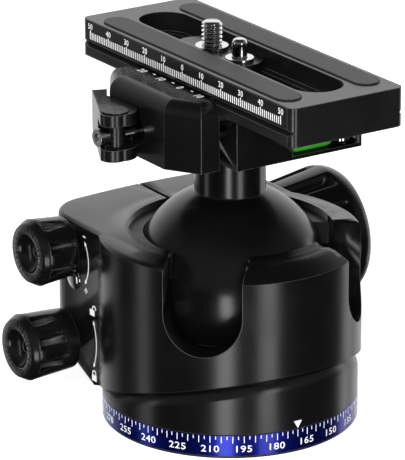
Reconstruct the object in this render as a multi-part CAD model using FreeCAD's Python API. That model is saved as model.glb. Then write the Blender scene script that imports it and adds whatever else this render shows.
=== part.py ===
import FreeCAD, Part
import math
import os

# Tripod ball head: panning base, slit housing with two drop notches, ball and neck,
# lever clamp and a sliding camera plate. Millimetres, +Z up, origin at the centre of
# the base face. +X is the index mark's side, -Y the side of the two small knobs.

V = FreeCAD.Vector
X = V(1, 0, 0)
Y = V(0, 1, 0)
Z = V(0, 0, 1)

# Clearances
RUN = 0.05            # radial play of a shaft in its bore
EASE = 0.3            # air between curved faces of different bodies
SEAT = 0.1            # air between flat faces that turn or slide on each other

# Panning base
RING_R = 38.2         # degree ring and lower band of the housing
RING_TOP = 7.2
FOOT_H = 0.8          # foot flange under the ring
FOOT_CHAMFER = 0.5
CORE_R = 33.5         # base plate inside the ring
DRUM_R = 29.9         # drum that the housing turns on and grips
DRUM_BORE = 21.0
DRUM_TOP = 16.0
GROOVE_Z = 12.0       # groove for the retaining ring
GROOVE_H = 1.8
GROOVE_DEPTH = 1.6
THREAD_R = 3.99       # core radius of the 3/8 inch tripod thread
INSERT_R = 8.0
INSERT_H = 12.0
INSERT_RIM = 2.0
BASE_SCREW_R = 1.5
BASE_SCREW_HEAD_R = 2.9
BASE_SCREW_PCR = 25.5
BASE_SCREW_L = 12.0
BASE_SCREWS = 4

# Ball and neck
BALL_R = 29.07
BALL_Z = 42.9
NECK_R = 10.6
NECK_TOP = 86.0
NECK_FILLET = 0.8
SPIGOT_R = 7.0
SPIGOT_H = 4.0
STEM_BOLT_R = 3.0
STEM_HEAD_R = 5.0
STEM_HEAD_H = 5.0
STEM_BOLT_L = 26.0
DOWEL_R = 1.25
DOWEL_L = 9.0
DOWEL_X = 8.8

# Housing
BODY_R = 39.1
BAND_GAP = 0.15       # slit between the ring and the housing
BALL_ROOM = 0.93       # gap between the ball and the cavity
CAVITY_R = BALL_R + BALL_ROOM
LEDGE_R = 23.5        # ledge under the ball's seat
LEDGE_H = 2.5
TOP_Z = 57.8
LIP_Z = 59.3
LIP_W = 1.6
TOP_ROUND = 1.2
FRONT_BEVEL_R = 35.3  # the front section falls away outside this radius
FRONT_BEVEL_TOP = 57.0
FRONT_WALL_TOP = 53.8
NOTCH_R = 11.7
NOTCH_Z = 43.2
NOTCH_ANGLE = 46.0
COVE_Z = 14.2         # tilted groove under the upper body, at the axis
COVE_SLOPE = 0.261
COVE_H = 1.5
COVE_DEPTH = 1.1
BOSS_BACK = 49.5
BOSS_HALF = 34.8
BOSS_CORNER = 13.0
BOSS_BULGE = 1.2
BOSS_EDGE = 1.4
CHIN_Z = 21.6         # underside of the boss at its back face
CHIN_SLOPE = 0.45
SLIT = 1.2
LINER_BOTTOM = 50.5
LINER_TOP = 57.2

# Ball seat
SEAT_BORE = 23.4
SEAT_H = 10.0
SPRING_T = 1.0
SPRING_RISE = 1.1

# Knobs and their screws on the boss
KNOB_X = -36.0
MAIN_Z = 34.7
MAIN_SCREW_R = 3.9
MAIN_L = 28.0
MAIN_ROOT_R = 12.5
MAIN_RIM_R = 19.3
MAIN_FACE_R = 17.6
MAIN_DISH_R = 13.5
MAIN_DISH = 3.0
MAIN_FLUTES = 10
MAIN_FLUTE_R = 3.6
FRICTION_Z = 48.5
PAN_Z = 19.3
SMALL_SCREW_R = 2.4
SMALL_ROOT_R = 9.2
SMALL_RIM_R = 10.2
SMALL_FACE_R = 8.8
SMALL_BEVEL = 2.4
SMALL_DISH_R = 6.0
SMALL_DISH = 2.6
SMALL_FLUTES = 8
SMALL_FLUTE_R = 2.1
FRICTION_L = 12.4
PAN_L = 16.6
WASHER_H = 0.8
WASHER_W = 2.6
TAP_END = 6.0         # wall left at the end of each tapped hole
SCREW_TIP = 1.5       # air between a screw's end and the bottom of its hole
SCREW_IN_KNOB = 0.7   # share of the knob's length that holds its screw

# Quick release clamp
CLAMP_BOTTOM = 86.0
CLAMP_HALF = 28.0
CLAMP_FAR = 27.3
CLAMP_NEAR = 16.3
CORNER_ROUND = 2.5
BED_Z = 101.7
JAW_TOP = 106.4
JAW_HALF = 24.3
JAW_FRONT = 32.3
JAW_CORNER = 9.8
JAW_CORNER_DEPTH = 6.3
JAW_ROUND = 4.5
NOSE_REACH = 1.1
NOSE_RISE = 0.75
GUIDE_X = 16.0
GUIDE_R = 2.0
GUIDE_L = 26.0
GUIDE_IN_JAW = 10.0
ROD_R = 1.6
ROD_Z = 94.0
ROD_END = 12.0        # how far the tie rod is screwed into the clamp body
FLARE_R = 4.2
FLARE_DEPTH = 3.5
SPRING_MEAN_R = 3.0
SPRING_WIRE_R = 0.35
SPRING_POCKET_R = 3.9
JAW_SPRING_DEPTH = 4.0
JAW_SPRING_TURNS = 6

# Cam lever
PIVOT_Y = 39.6
BARREL_R = 3.0
BARREL_HEAD_R = 4.0
BARREL_HEAD_H = 0.9
LEVER_BOTTOM = 87.0
LEVER_TOP = 101.0
FORK_T = 3.5
FORK_REACH = 7.3
CAM_GAP = 0.3
CAM_DROP = 2.6
LEVER_FRONT = 5.0
LEVER_L = 24.1
LEVER_TIP_Y = 7.2
LEVER_TIP_W = 4.4
LEVER_TIP_DROP = 1.3
TIE_NUT_R = 2.6
TIE_NUT_L = 3.2
TIE_SOCKET_R = 1.3

# Level and stop pin in the clamp's end
POCKET_L = 6.0
POCKET_Y0 = 3.0
POCKET_Y1 = 25.4
POCKET_Z = 88.5
VIAL_R = 2.4
VIAL_L = 14.5
CAP_L = 1.6
STOP_R = 2.8
STOP_Y = 21.9
STOP_TOP = 101.2
STOP_BORE = 2.0
STOP_TRAVEL = 1.5
STOP_SPRING_R = 1.4
STOP_SPRING_TURNS = 7

# Camera plate
PLATE_X = 4.5
PLATE_L = 110.0
PLATE_W = 39.0
PLATE_BOTTOM = 102.0
PLATE_H = 11.5
PLATE_CORNER = 2.6
PLATE_EDGE = 0.5
FLANGE_H = 3.2
V_H = 1.9
V_DEPTH = 1.6
SLOT_L = 94.0
SLOT_W = 15.6
SLOT_STEP_W = 10.4
SLOT_STEP_H = 5.6      # height of the step in the slot over the plate's underside
PAD_L = 97.0
PAD_W = 8.0
PAD_Y = 13.4
PAD_SUNK = 0.8
PAD_PROUD = 0.4
STOP_SCREW_R = 1.5
STOP_SCREW_HEAD_R = 2.4
STOP_SCREW_HEAD_H = 1.0
STOP_SCREW_L = 5.0
STOP_SCREW_INSET = 4.6

# Carriage with the camera screw and the video pin
CARRIAGE_L = 34.0
CARRIAGE_DROP = 2.7    # top of the carriage under the top of the plate
CARRIAGE_X = -6.0
SCREW_X = -9.5
CAMERA_SCREW_R = 3.1
CAMERA_SHANK_R = 2.4   # relieved shank under the thread, which keeps the screw captive
CAMERA_SCREW_PROUD = 5.7
THREAD_LIFT = 0.3      # start of the thread and of the pin's free end over their collars
CAMERA_SCREW_CHAMFER = 0.7
CAMERA_COLLAR_R = 4.9
CAMERA_COLLAR_H = 1.0
CAMERA_HEAD_R = 4.4
CAMERA_HEAD_H = 2.6
PIN_X = 5.0
PIN_R = 2.25
PIN_SHANK_R = 2.0
PIN_PROUD = 3.9
PIN_COLLAR_R = 4.2
PIN_TRAVEL = 3.0
PIN_SPRING_TURNS = 5

HOUSING_BOTTOM = RING_TOP + BAND_GAP
PLATE_TOP = PLATE_BOTTOM + PLATE_H
SLOT_STEP_Z = PLATE_BOTTOM + SLOT_STEP_H
CARRIAGE_TOP = PLATE_TOP - CARRIAGE_DROP
CAMERA_SCREW_TOP = PLATE_TOP + CAMERA_SCREW_PROUD
PIN_TOP = PLATE_TOP + PIN_PROUD

# Height, radius and knob side of the three screws that cross the slit
CLAMP_SCREWS = ((MAIN_Z, MAIN_SCREW_R, 1), (FRICTION_Z, SMALL_SCREW_R, -1), (PAN_Z, SMALL_SCREW_R, -1))


def cylinder(r, length, base, axis=Z):
    return Part.makeCylinder(r, length, base, axis)


def block(x0, x1, y0, y1, z0, z1):
    return Part.makeBox(x1 - x0, y1 - y0, z1 - z0, V(x0, y0, z0))


def prism(points, z0, z1):
    """A closed outline in plan, raised from z0 to z1."""
    wire = Part.makePolygon([V(x, y, z0) for x, y in points + points[:1]])
    return Part.Face(wire).extrude(V(0, 0, z1 - z0))


def turned(profile, base=V(0, 0, 0), axis=Z):
    """A profile of (radius, height) points turned about an axis through base."""
    wire = Part.makePolygon([V(r, 0, h) for r, h in profile + profile[:1]])
    solid = Part.Face(wire).revolve(V(0, 0, 0), Z, 360)
    solid.Placement = FreeCAD.Placement(base, FreeCAD.Rotation(Z, axis))
    return solid


def tube(r_out, r_in, length, base, axis=Z):
    return cylinder(r_out, length, base, axis).cut(cylinder(r_in, length, base, axis))


def polar(r, degrees):
    return r * math.cos(math.radians(degrees)), r * math.sin(math.radians(degrees))


def stadium(length, width, x, y, z0, z1):
    """A bar with round ends along X."""
    half = length / 2 - width / 2
    bar = block(x - half, x + half, y - width / 2, y + width / 2, z0, z1)
    for side in (-half, half):
        bar = bar.fuse(cylinder(width / 2, z1 - z0, V(x + side, y, z0)))
    return bar.removeSplitter()


def coil(mean_r, wire_r, length, turns, base, axis=Z):
    """A compression spring along an axis, its wire clear of both ends."""
    helix = Part.makeHelix((length - 2 * wire_r) / turns, length - 2 * wire_r, mean_r)
    section = Part.Wire(Part.makeCircle(wire_r, V(mean_r, 0, 0), Y))
    spring = Part.Wire(helix.Edges).makePipeShell([section], True, False)
    spring.translate(V(0, 0, wire_r))
    spring.Placement = FreeCAD.Placement(base, FreeCAD.Rotation(Z, axis)).multiply(spring.Placement)
    return spring


def hexagon(across, length, base, axis):
    """A six-sided bar along an axis."""
    points = [polar(across / math.sqrt(3), 60 * i) for i in range(6)]
    bar = prism(points, 0, length)
    bar.Placement = FreeCAD.Placement(base, FreeCAD.Rotation(Z, axis))
    return bar


# Panning base

def base_screw_places():
    return [polar(BASE_SCREW_PCR, 45 + 360 * i / BASE_SCREWS) for i in range(BASE_SCREWS)]


def base_screw(x, y, play):
    head_h = BASE_SCREW_HEAD_R - BASE_SCREW_R
    shank = cylinder(BASE_SCREW_R + play, BASE_SCREW_L, V(x, y, 0))
    return shank.fuse(Part.makeCone(BASE_SCREW_HEAD_R + play, BASE_SCREW_R + play, head_h, V(x, y, 0)))


def base_screws():
    return Part.makeCompound([base_screw(x, y, 0) for x, y in base_screw_places()])


def base_plate():
    plate = turned([(INSERT_R, 0), (RING_R - FOOT_CHAMFER, 0), (RING_R, FOOT_CHAMFER),
                    (RING_R, FOOT_H), (CORE_R, FOOT_H), (CORE_R, RING_TOP),
                    (INSERT_R + INSERT_RIM, RING_TOP), (INSERT_R + INSERT_RIM, INSERT_H - INSERT_RIM),
                    (INSERT_R, INSERT_H - INSERT_RIM)])
    for x, y in base_screw_places():
        plate = plate.cut(base_screw(x, y, RUN))
    return plate


def thread_insert():
    profile = [(THREAD_R, 0), (INSERT_R, 0), (INSERT_R, INSERT_H - INSERT_RIM),
               (INSERT_R + INSERT_RIM, INSERT_H - INSERT_RIM), (INSERT_R + INSERT_RIM, INSERT_H),
               (THREAD_R, INSERT_H)]
    return turned(profile)


def degree_ring():
    return tube(RING_R, CORE_R, RING_TOP - FOOT_H, V(0, 0, FOOT_H))


def pan_drum():
    drum = turned([(DRUM_BORE, RING_TOP), (DRUM_R, RING_TOP), (DRUM_R, GROOVE_Z),
                   (DRUM_R - GROOVE_DEPTH, GROOVE_Z), (DRUM_R - GROOVE_DEPTH, GROOVE_Z + GROOVE_H),
                   (DRUM_R, GROOVE_Z + GROOVE_H), (DRUM_R, DRUM_TOP), (DRUM_BORE, DRUM_TOP)])
    for x, y in base_screw_places():
        drum = drum.cut(base_screw(x, y, RUN))
    return drum


# Housing

def screw_hole(z, r, side):
    """A clear hole on the knob's side of the slit, a tapped one on the far side."""
    clear = cylinder(r + EASE, BOSS_HALF + 1, V(KNOB_X, 0, z), V(0, side, 0))
    return clear.fuse(cylinder(r + RUN, BOSS_HALF - TAP_END, V(KNOB_X, 0, z), V(0, -side, 0)))


def boss():
    """The clamp block behind the ball, with round corners and a gently bowed back."""
    side = BOSS_BACK - BOSS_CORNER
    half = BOSS_HALF - BOSS_CORNER
    turn = BOSS_CORNER * math.sqrt(0.5)
    edges = [
        Part.LineSegment(V(0, BOSS_HALF, 0), V(-side, BOSS_HALF, 0)),
        Part.Arc(V(-side, BOSS_HALF, 0), V(-side - turn, half + turn, 0), V(-BOSS_BACK, half, 0)),
        Part.Arc(V(-BOSS_BACK, half, 0), V(-BOSS_BACK - BOSS_BULGE, 0, 0), V(-BOSS_BACK, -half, 0)),
        Part.Arc(V(-BOSS_BACK, -half, 0), V(-side - turn, -half - turn, 0), V(-side, -BOSS_HALF, 0)),
        Part.LineSegment(V(-side, -BOSS_HALF, 0), V(0, -BOSS_HALF, 0)),
        Part.LineSegment(V(0, -BOSS_HALF, 0), V(0, BOSS_HALF, 0)),
    ]
    outline = Part.Wire([edge.toShape() for edge in edges])
    outline.translate(V(0, 0, HOUSING_BOTTOM))
    solid = Part.Face(outline).extrude(V(0, 0, TOP_Z - HOUSING_BOTTOM))
    top = [e for e in solid.Edges if e.BoundBox.ZMin > TOP_Z - 0.01 and e.BoundBox.XMin < -1]
    solid = solid.makeFillet(BOSS_EDGE, top)
    rise = CHIN_SLOPE * BOSS_BACK
    back = 2 * BOSS_BACK
    chin = Part.makePolygon([V(0, -back, CHIN_Z - rise), V(-back, -back, CHIN_Z + rise),
                             V(-back, -back, -back), V(0, -back, -back), V(0, -back, CHIN_Z - rise)])
    return solid.cut(Part.Face(chin).extrude(V(0, 2 * back, 0)))


def cove():
    """The tilted groove that parts the upper body from the lower band."""
    reach = BODY_R + BOSS_BACK
    low = COVE_Z - COVE_SLOPE * reach
    high = COVE_Z + COVE_SLOPE * reach
    slab = Part.makePolygon([V(-reach, -reach, low), V(reach, -reach, high),
                             V(reach, -reach, high - COVE_H), V(-reach, -reach, low - COVE_H),
                             V(-reach, -reach, low)])
    slab = Part.Face(slab).extrude(V(0, 2 * reach, 0))
    outside = tube(reach, BODY_R - COVE_DEPTH, TOP_Z, V(0, 0, 0))
    below = Part.makePolygon([V(-reach, -reach, low), V(reach, -reach, high),
                              V(reach, -reach, -reach), V(-reach, -reach, -reach),
                              V(-reach, -reach, low)])
    skin = Part.Face(below).extrude(V(0, 2 * reach, 0)).common(tube(reach, RING_R, TOP_Z, V(0, 0, 0)))
    return slab.common(outside).fuse(skin)


def notch(degrees):
    """A drop notch: a round-bottomed slot from the cavity out through the wall."""
    reach = 2 * BODY_R
    slot = cylinder(NOTCH_R, reach, V(0, 0, NOTCH_Z), X)
    slot = slot.fuse(block(0, reach, -NOTCH_R, NOTCH_R, NOTCH_Z, NOTCH_Z + reach))
    slot.rotate(V(0, 0, 0), Z, degrees)
    return slot


def front_bevel():
    """What the front section lacks above its two sloping bands."""
    over = LIP_Z + 1
    ring = turned([(CAVITY_R - 1, LIP_Z), (CAVITY_R, LIP_Z), (FRONT_BEVEL_R, FRONT_BEVEL_TOP),
                   (BODY_R, FRONT_WALL_TOP), (BODY_R + 1, FRONT_WALL_TOP), (BODY_R + 1, over),
                   (CAVITY_R - 1, over)])
    x, y = polar(2 * BODY_R, NOTCH_ANGLE)
    return ring.common(prism([(0, 0), (x, -y), (x, y)], 0, over))


def housing():
    bottom = HOUSING_BOTTOM
    body = turned([(0, bottom), (BODY_R, bottom), (BODY_R, TOP_Z - TOP_ROUND),
                   (BODY_R - TOP_ROUND / 3, TOP_Z - TOP_ROUND / 3), (BODY_R - TOP_ROUND, TOP_Z),
                   (CAVITY_R + LIP_W, TOP_Z), (CAVITY_R, LIP_Z), (0, LIP_Z)])
    body = body.fuse(boss())
    body = body.cut(cove())
    ledge_bottom = DRUM_TOP + SEAT
    cavity_z = ledge_bottom + LEDGE_H
    body = body.cut(cylinder(DRUM_R + RUN, ledge_bottom - bottom, V(0, 0, bottom)))
    body = body.cut(cylinder(LEDGE_R, LIP_Z, V(0, 0, bottom)))
    body = body.cut(cylinder(CAVITY_R, LIP_Z, V(0, 0, cavity_z)))
    body = body.cut(ring_groove())
    body = body.cut(front_bevel())
    body = body.cut(block(-2 * BOSS_BACK, -LEDGE_R + 1, -SLIT / 2, SLIT / 2, 0, LIP_Z))
    for degrees in (-NOTCH_ANGLE, NOTCH_ANGLE):
        body = body.cut(notch(degrees))
    for z, r, side in CLAMP_SCREWS:
        body = body.cut(screw_hole(z, r, side))
    return body


def ring_groove():
    z = GROOVE_Z + SEAT
    return tube(DRUM_R + RUN + GROOVE_DEPTH, DRUM_R, GROOVE_H - 2 * SEAT, V(0, 0, z))


def retaining_ring():
    """A split ring in the housing that runs in the drum's groove."""
    h = GROOVE_H - 2 * SEAT
    ring = tube(DRUM_R + GROOVE_DEPTH, DRUM_R - GROOVE_DEPTH + EASE, h, V(0, 0, GROOVE_Z + SEAT))
    return ring.cut(block(-2 * DRUM_R, 0, -2 * SLIT, 2 * SLIT, 0, DRUM_TOP))


def upper_ball_liner():
    """Two pads that hold the ball from above, one each side of the notches."""
    liner = tube(CAVITY_R, BALL_R - 6, LINER_TOP - LINER_BOTTOM, V(0, 0, LINER_BOTTOM))
    liner = liner.cut(Part.makeSphere(BALL_R + EASE, V(0, 0, BALL_Z)))
    for degrees in (-NOTCH_ANGLE, NOTCH_ANGLE):
        liner = liner.cut(notch(degrees))
    return liner.cut(block(-2 * BODY_R, 0, -SLIT / 2, SLIT / 2, 0, LIP_Z))


def seat_spring():
    """A cone spring on the ledge that presses the seat up against the ball."""
    z = DRUM_TOP + SEAT + LEDGE_H
    outer = CAVITY_R - 1
    inner = SEAT_BORE + 1
    return turned([(outer, z), (outer, z + SPRING_T), (inner, z + SPRING_T + SPRING_RISE),
                   (inner, z + SPRING_RISE)])


def ball_seat():
    z = DRUM_TOP + SEAT + LEDGE_H + SPRING_T + SPRING_RISE + SEAT
    seat = tube(CAVITY_R - EASE, SEAT_BORE, SEAT_H, V(0, 0, z))
    return seat.cut(Part.makeSphere(BALL_R + EASE, V(0, 0, BALL_Z)))


# Knobs with their screws and washers

def knob_base():
    """Distance of a knob's rear face from the slit."""
    return BOSS_HALF + WASHER_H + 2 * SEAT


def knob(profile, z, side, screw_r, flutes):
    """A knob turned from its profile about the screw, with pockets cut round its grip."""
    count, flute_r, h0, h1, r0, r1 = flutes
    body = turned(profile, V(0, 0, 0))
    run = V(r1 - r0, 0, h1 - h0)
    for i in range(count):
        pocket = cylinder(flute_r, run.Length, V(r0 + flute_r, 0, h0), run)
        pocket.rotate(V(0, 0, 0), Z, 360 * (i + 0.5) / count)
        body = body.cut(pocket)
    length = max(h for r, h in profile)
    body = body.cut(cylinder(screw_r, length * SCREW_IN_KNOB, V(0, 0, 0)))
    body.Placement = FreeCAD.Placement(V(KNOB_X, side * knob_base(), z), FreeCAD.Rotation(Z, V(0, side, 0)))
    return body


def main_knob():
    profile = [(0, 0), (MAIN_ROOT_R, 0), (MAIN_ROOT_R, MAIN_L * 0.1), (MAIN_RIM_R, MAIN_L * 0.82),
               (MAIN_FACE_R, MAIN_L), (MAIN_DISH_R, MAIN_L), (0, MAIN_L - MAIN_DISH)]
    flutes = (MAIN_FLUTES, MAIN_FLUTE_R, MAIN_L * 0.16, MAIN_L * 0.8, MAIN_ROOT_R + 0.2, MAIN_RIM_R - 2.4)
    return knob(profile, MAIN_Z, 1, MAIN_SCREW_R, flutes)


def small_knob(z, length):
    grip = FRICTION_L - SMALL_BEVEL
    front = length - SMALL_BEVEL
    profile = [(0, 0), (SMALL_ROOT_R, 0), (SMALL_RIM_R, front), (SMALL_FACE_R, length),
               (SMALL_DISH_R, length), (0, length - SMALL_DISH)]
    flutes = (SMALL_FLUTES, SMALL_FLUTE_R, front - grip + 1.5, front, SMALL_ROOT_R, SMALL_RIM_R - 1.5)
    return knob(profile, z, -1, SMALL_SCREW_R, flutes)


def friction_knob():
    return small_knob(FRICTION_Z, FRICTION_L)


def pan_knob():
    return small_knob(PAN_Z, PAN_L)


def knob_screw(z, r, side, knob_length):
    """The screw of one knob, from inside the knob across the slit to the tapped side."""
    outer = knob_base() + knob_length * SCREW_IN_KNOB
    inner = BOSS_HALF - TAP_END - SCREW_TIP
    return cylinder(r, outer + inner, V(KNOB_X, side * outer, z), V(0, -side, 0))


def knob_washer(z, r, side):
    base = V(KNOB_X, side * (BOSS_HALF + SEAT), z)
    return tube(r + WASHER_W, r + EASE, WASHER_H, base, V(0, side, 0))


# Ball, neck and what holds the clamp on

def ball():
    """Ball and neck in one piece, with the spigot that centres the clamp."""
    root_z = BALL_Z + math.sqrt(BALL_R ** 2 - NECK_R ** 2)
    body = Part.makeSphere(BALL_R, V(0, 0, BALL_Z))
    neck = cylinder(NECK_R, NECK_TOP - BALL_Z, V(0, 0, BALL_Z))
    body = body.fuse(neck)
    root = [e for e in body.Edges if abs(e.BoundBox.ZMin - root_z) < 0.01 and abs(e.BoundBox.ZMax - root_z) < 0.01]
    body = body.makeFillet(NECK_FILLET, root)
    body = body.fuse(cylinder(SPIGOT_R, SPIGOT_H, V(0, 0, NECK_TOP)))
    depth = STEM_BOLT_L - (stem_head_z() - NECK_TOP) + 1
    body = body.cut(cylinder(STEM_BOLT_R + RUN, depth + SPIGOT_H, V(0, 0, NECK_TOP - depth)))
    return body.cut(dowel_shape(RUN))


def stem_head_z():
    return BED_Z - STEM_HEAD_H - 1


def stem_bolt():
    """Socket head bolt that pulls the clamp down on the neck."""
    z = stem_head_z()
    bolt = cylinder(STEM_HEAD_R, STEM_HEAD_H, V(0, 0, z)).fuse(cylinder(STEM_BOLT_R, STEM_BOLT_L, V(0, 0, z - STEM_BOLT_L)))
    return bolt.cut(hexagon(STEM_HEAD_R, STEM_HEAD_H * 0.6, V(0, 0, z + STEM_HEAD_H * 0.4), Z))


def dowel_shape(play):
    """The pin that stops the clamp turning on the neck."""
    return cylinder(DOWEL_R + play, DOWEL_L + 2 * play, V(DOWEL_X, 0, NECK_TOP - DOWEL_L / 2 - play))


# Quick release clamp

def nose(inner, side):
    """The dovetail nose of a jaw along X, at inner from the plate's centre line."""
    z0 = nose_z()
    points = [(inner, z0), (inner - NOSE_REACH, z0 + NOSE_RISE), (inner - NOSE_REACH, JAW_TOP), (inner, JAW_TOP)]
    wire = Part.makePolygon([V(0, side * y, z) for y, z in points + points[:1]])
    return Part.Face(wire)


def nose_z():
    return PLATE_BOTTOM + FLANGE_H + 0.25


def rail(inner, side, half):
    face = nose(inner, side)
    face.translate(V(-half, 0, 0))
    return face.extrude(V(2 * half, 0, 0))


def jaw_inner():
    return PLATE_W / 2 + EASE


def guide_holes(r, y0, y1):
    return [cylinder(r, y1 - y0, V(side * GUIDE_X, y0, ROD_Z), Y) for side in (-1, 1)]


def clamp_body():
    body = block(-CLAMP_HALF, CLAMP_HALF, -CLAMP_NEAR, CLAMP_FAR, CLAMP_BOTTOM, BED_Z)
    body = body.fuse(block(-CLAMP_HALF, CLAMP_HALF, jaw_inner(), CLAMP_FAR, BED_Z, JAW_TOP))
    body = body.fuse(rail(jaw_inner(), 1, CLAMP_HALF)).removeSplitter()
    outer = [e for e in body.Edges if on_line(e, CLAMP_FAR, JAW_TOP)]
    body = body.makeFillet(CORNER_ROUND, outer)
    body = body.cut(cylinder(SPIGOT_R + RUN, SPIGOT_H, V(0, 0, CLAMP_BOTTOM)))
    body = body.cut(cylinder(STEM_BOLT_R + EASE, BED_Z - CLAMP_BOTTOM, V(0, 0, CLAMP_BOTTOM)))
    body = body.cut(cylinder(STEM_HEAD_R + EASE, BED_Z - CLAMP_BOTTOM, V(0, 0, stem_head_z())))
    body = body.cut(dowel_shape(RUN))
    for hole in guide_holes(GUIDE_R, -CLAMP_NEAR, GUIDE_L - GUIDE_IN_JAW - CLAMP_NEAR):
        body = body.cut(hole)
    body = body.cut(cylinder(SPRING_POCKET_R, JAW_SPRING_DEPTH, V(0, -CLAMP_NEAR, ROD_Z), Y))
    body = body.cut(block(CLAMP_HALF - POCKET_L, CLAMP_HALF, POCKET_Y0, POCKET_Y1, POCKET_Z, BED_Z))
    body = body.cut(cylinder(STOP_R + RUN, POCKET_Z - stop_floor(), V(stop_x(), STOP_Y, stop_floor())))
    return body.cut(cylinder(ROD_R, rod_depth(), V(0, -CLAMP_NEAR, ROD_Z), Y))


def rod_depth():
    """The rod's blind hole stops short of the spigot and the stem bolt."""
    return min(ROD_END, CLAMP_NEAR - STEM_HEAD_R - 1)


def stop_x():
    return CLAMP_HALF - POCKET_L / 2


def stop_floor():
    return POCKET_Z - STOP_TRAVEL - SEAT


def on_line(edge, y, z):
    box = edge.BoundBox
    return abs(box.YMin - y) + abs(box.YMax - y) < 0.02 and abs(box.ZMin - z) + abs(box.ZMax - z) < 0.02


def clamp_jaw():
    """The moving jaw: cut corners in plan, a large round along its top."""
    inner = -jaw_inner()
    front = -JAW_FRONT
    corner_y = front + JAW_CORNER_DEPTH
    outline = [(-JAW_HALF, inner), (-JAW_HALF, corner_y), (-JAW_HALF + JAW_CORNER, front),
               (JAW_HALF - JAW_CORNER, front), (JAW_HALF, corner_y), (JAW_HALF, inner)]
    jaw = prism(outline, CLAMP_BOTTOM, JAW_TOP)
    top = [e for e in jaw.Edges if e.BoundBox.ZMin > JAW_TOP - 0.01 and e.BoundBox.YMin < inner - 0.5]
    jaw = jaw.makeFillet(JAW_ROUND, top)
    jaw = jaw.fuse(rail(jaw_inner(), -1, JAW_HALF - JAW_ROUND)).removeSplitter()
    for hole in guide_holes(GUIDE_R + RUN, -CLAMP_NEAR - GUIDE_IN_JAW - 1, inner):
        jaw = jaw.cut(hole)
    jaw = jaw.cut(cylinder(SPRING_POCKET_R, JAW_SPRING_DEPTH, V(0, inner - JAW_SPRING_DEPTH, ROD_Z), Y))
    jaw = jaw.cut(cylinder(ROD_R + EASE, JAW_FRONT, V(0, front, ROD_Z), Y))
    return jaw.cut(Part.makeCone(FLARE_R, ROD_R + EASE, FLARE_DEPTH, V(0, front, ROD_Z), Y))


def guide_pins():
    y0 = -CLAMP_NEAR - GUIDE_IN_JAW
    return Part.makeCompound(guide_holes(GUIDE_R, y0, y0 + GUIDE_L))


def jaw_spring():
    """The spring round the tie rod that pushes the jaw open."""
    y0 = -jaw_inner() - JAW_SPRING_DEPTH
    length = JAW_SPRING_DEPTH - CLAMP_NEAR - y0
    return coil(SPRING_MEAN_R, SPRING_WIRE_R, length, JAW_SPRING_TURNS, V(0, y0, ROD_Z), Y)


# Cam lever, its barrel and the tie rod

def tie_rod():
    return cylinder(ROD_R, PIVOT_Y + tie_nut_reach() - CLAMP_NEAR + rod_depth(), V(0, -PIVOT_Y - tie_nut_reach(), ROD_Z), Y)


def tie_nut_reach():
    """Distance from the pivot to the middle of the adjusting nut."""
    return BARREL_R + TIE_NUT_L / 2


def tie_nut():
    """Round adjusting nut with a hexagon socket, bearing on the barrel."""
    nut = cylinder(TIE_NUT_R, TIE_NUT_L, V(0, -PIVOT_Y - BARREL_R, ROD_Z), -Y)
    nut = nut.cut(cylinder(ROD_R, TIE_NUT_L / 2, V(0, -PIVOT_Y - BARREL_R, ROD_Z), -Y))
    socket = V(0, -PIVOT_Y - tie_nut_reach(), ROD_Z)
    return nut.cut(hexagon(2 * TIE_SOCKET_R, TIE_NUT_L / 2, socket, -Y))


def pivot_barrel():
    """The upright pin that the lever turns on, crossed by the tie rod."""
    pin = cylinder(BARREL_R, LEVER_TOP - LEVER_BOTTOM, V(0, -PIVOT_Y, LEVER_BOTTOM))
    head_z = LEVER_TOP - BARREL_HEAD_H / 2
    pin = pin.fuse(cylinder(BARREL_HEAD_R, BARREL_HEAD_H, V(0, -PIVOT_Y, head_z)))
    return pin.cut(cylinder(ROD_R, 4 * BARREL_R, V(0, -PIVOT_Y - 2 * BARREL_R, ROD_Z), Y))


def cam_reach():
    """Distance from the pivot to the cam where it meets the jaw."""
    return PIVOT_Y - JAW_FRONT - CAM_GAP


def lever_outline():
    """Plan of the lever about its pivot: spiral nose, flat front and tapering handle."""
    top = cam_reach()
    low = top - CAM_DROP
    spiral = [V(*polar(low + (top - low) * a / 90, a), 0) for a in range(0, 91, 15)]
    nose_curve = Part.BSplineCurve()
    nose_curve.interpolate(spiral)
    length = math.hypot(LEVER_L, LEVER_TIP_Y + LEVER_FRONT)
    along = V(-LEVER_L, LEVER_TIP_Y + LEVER_FRONT, 0) / length
    across = V(along.y, -along.x, 0) * LEVER_TIP_W
    tip = V(-LEVER_L, LEVER_TIP_Y, 0)
    corner = V(0, -LEVER_FRONT, 0)
    shoulder = V(-JAW_HALF + JAW_CORNER - 1, top, 0)
    round_end = V(low * math.sqrt(0.5), -LEVER_FRONT + (LEVER_FRONT - low * math.sqrt(0.5)) * 0.5, 0)
    edges = [
        nose_curve.toShape(),
        Part.LineSegment(spiral[-1], shoulder).toShape(),
        Part.LineSegment(shoulder, tip + across).toShape(),
        Part.LineSegment(tip + across, tip).toShape(),
        Part.LineSegment(tip, corner).toShape(),
        Part.Arc(corner, round_end, spiral[0]).toShape(),
    ]
    return Part.Face(Part.Wire(edges))


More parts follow.
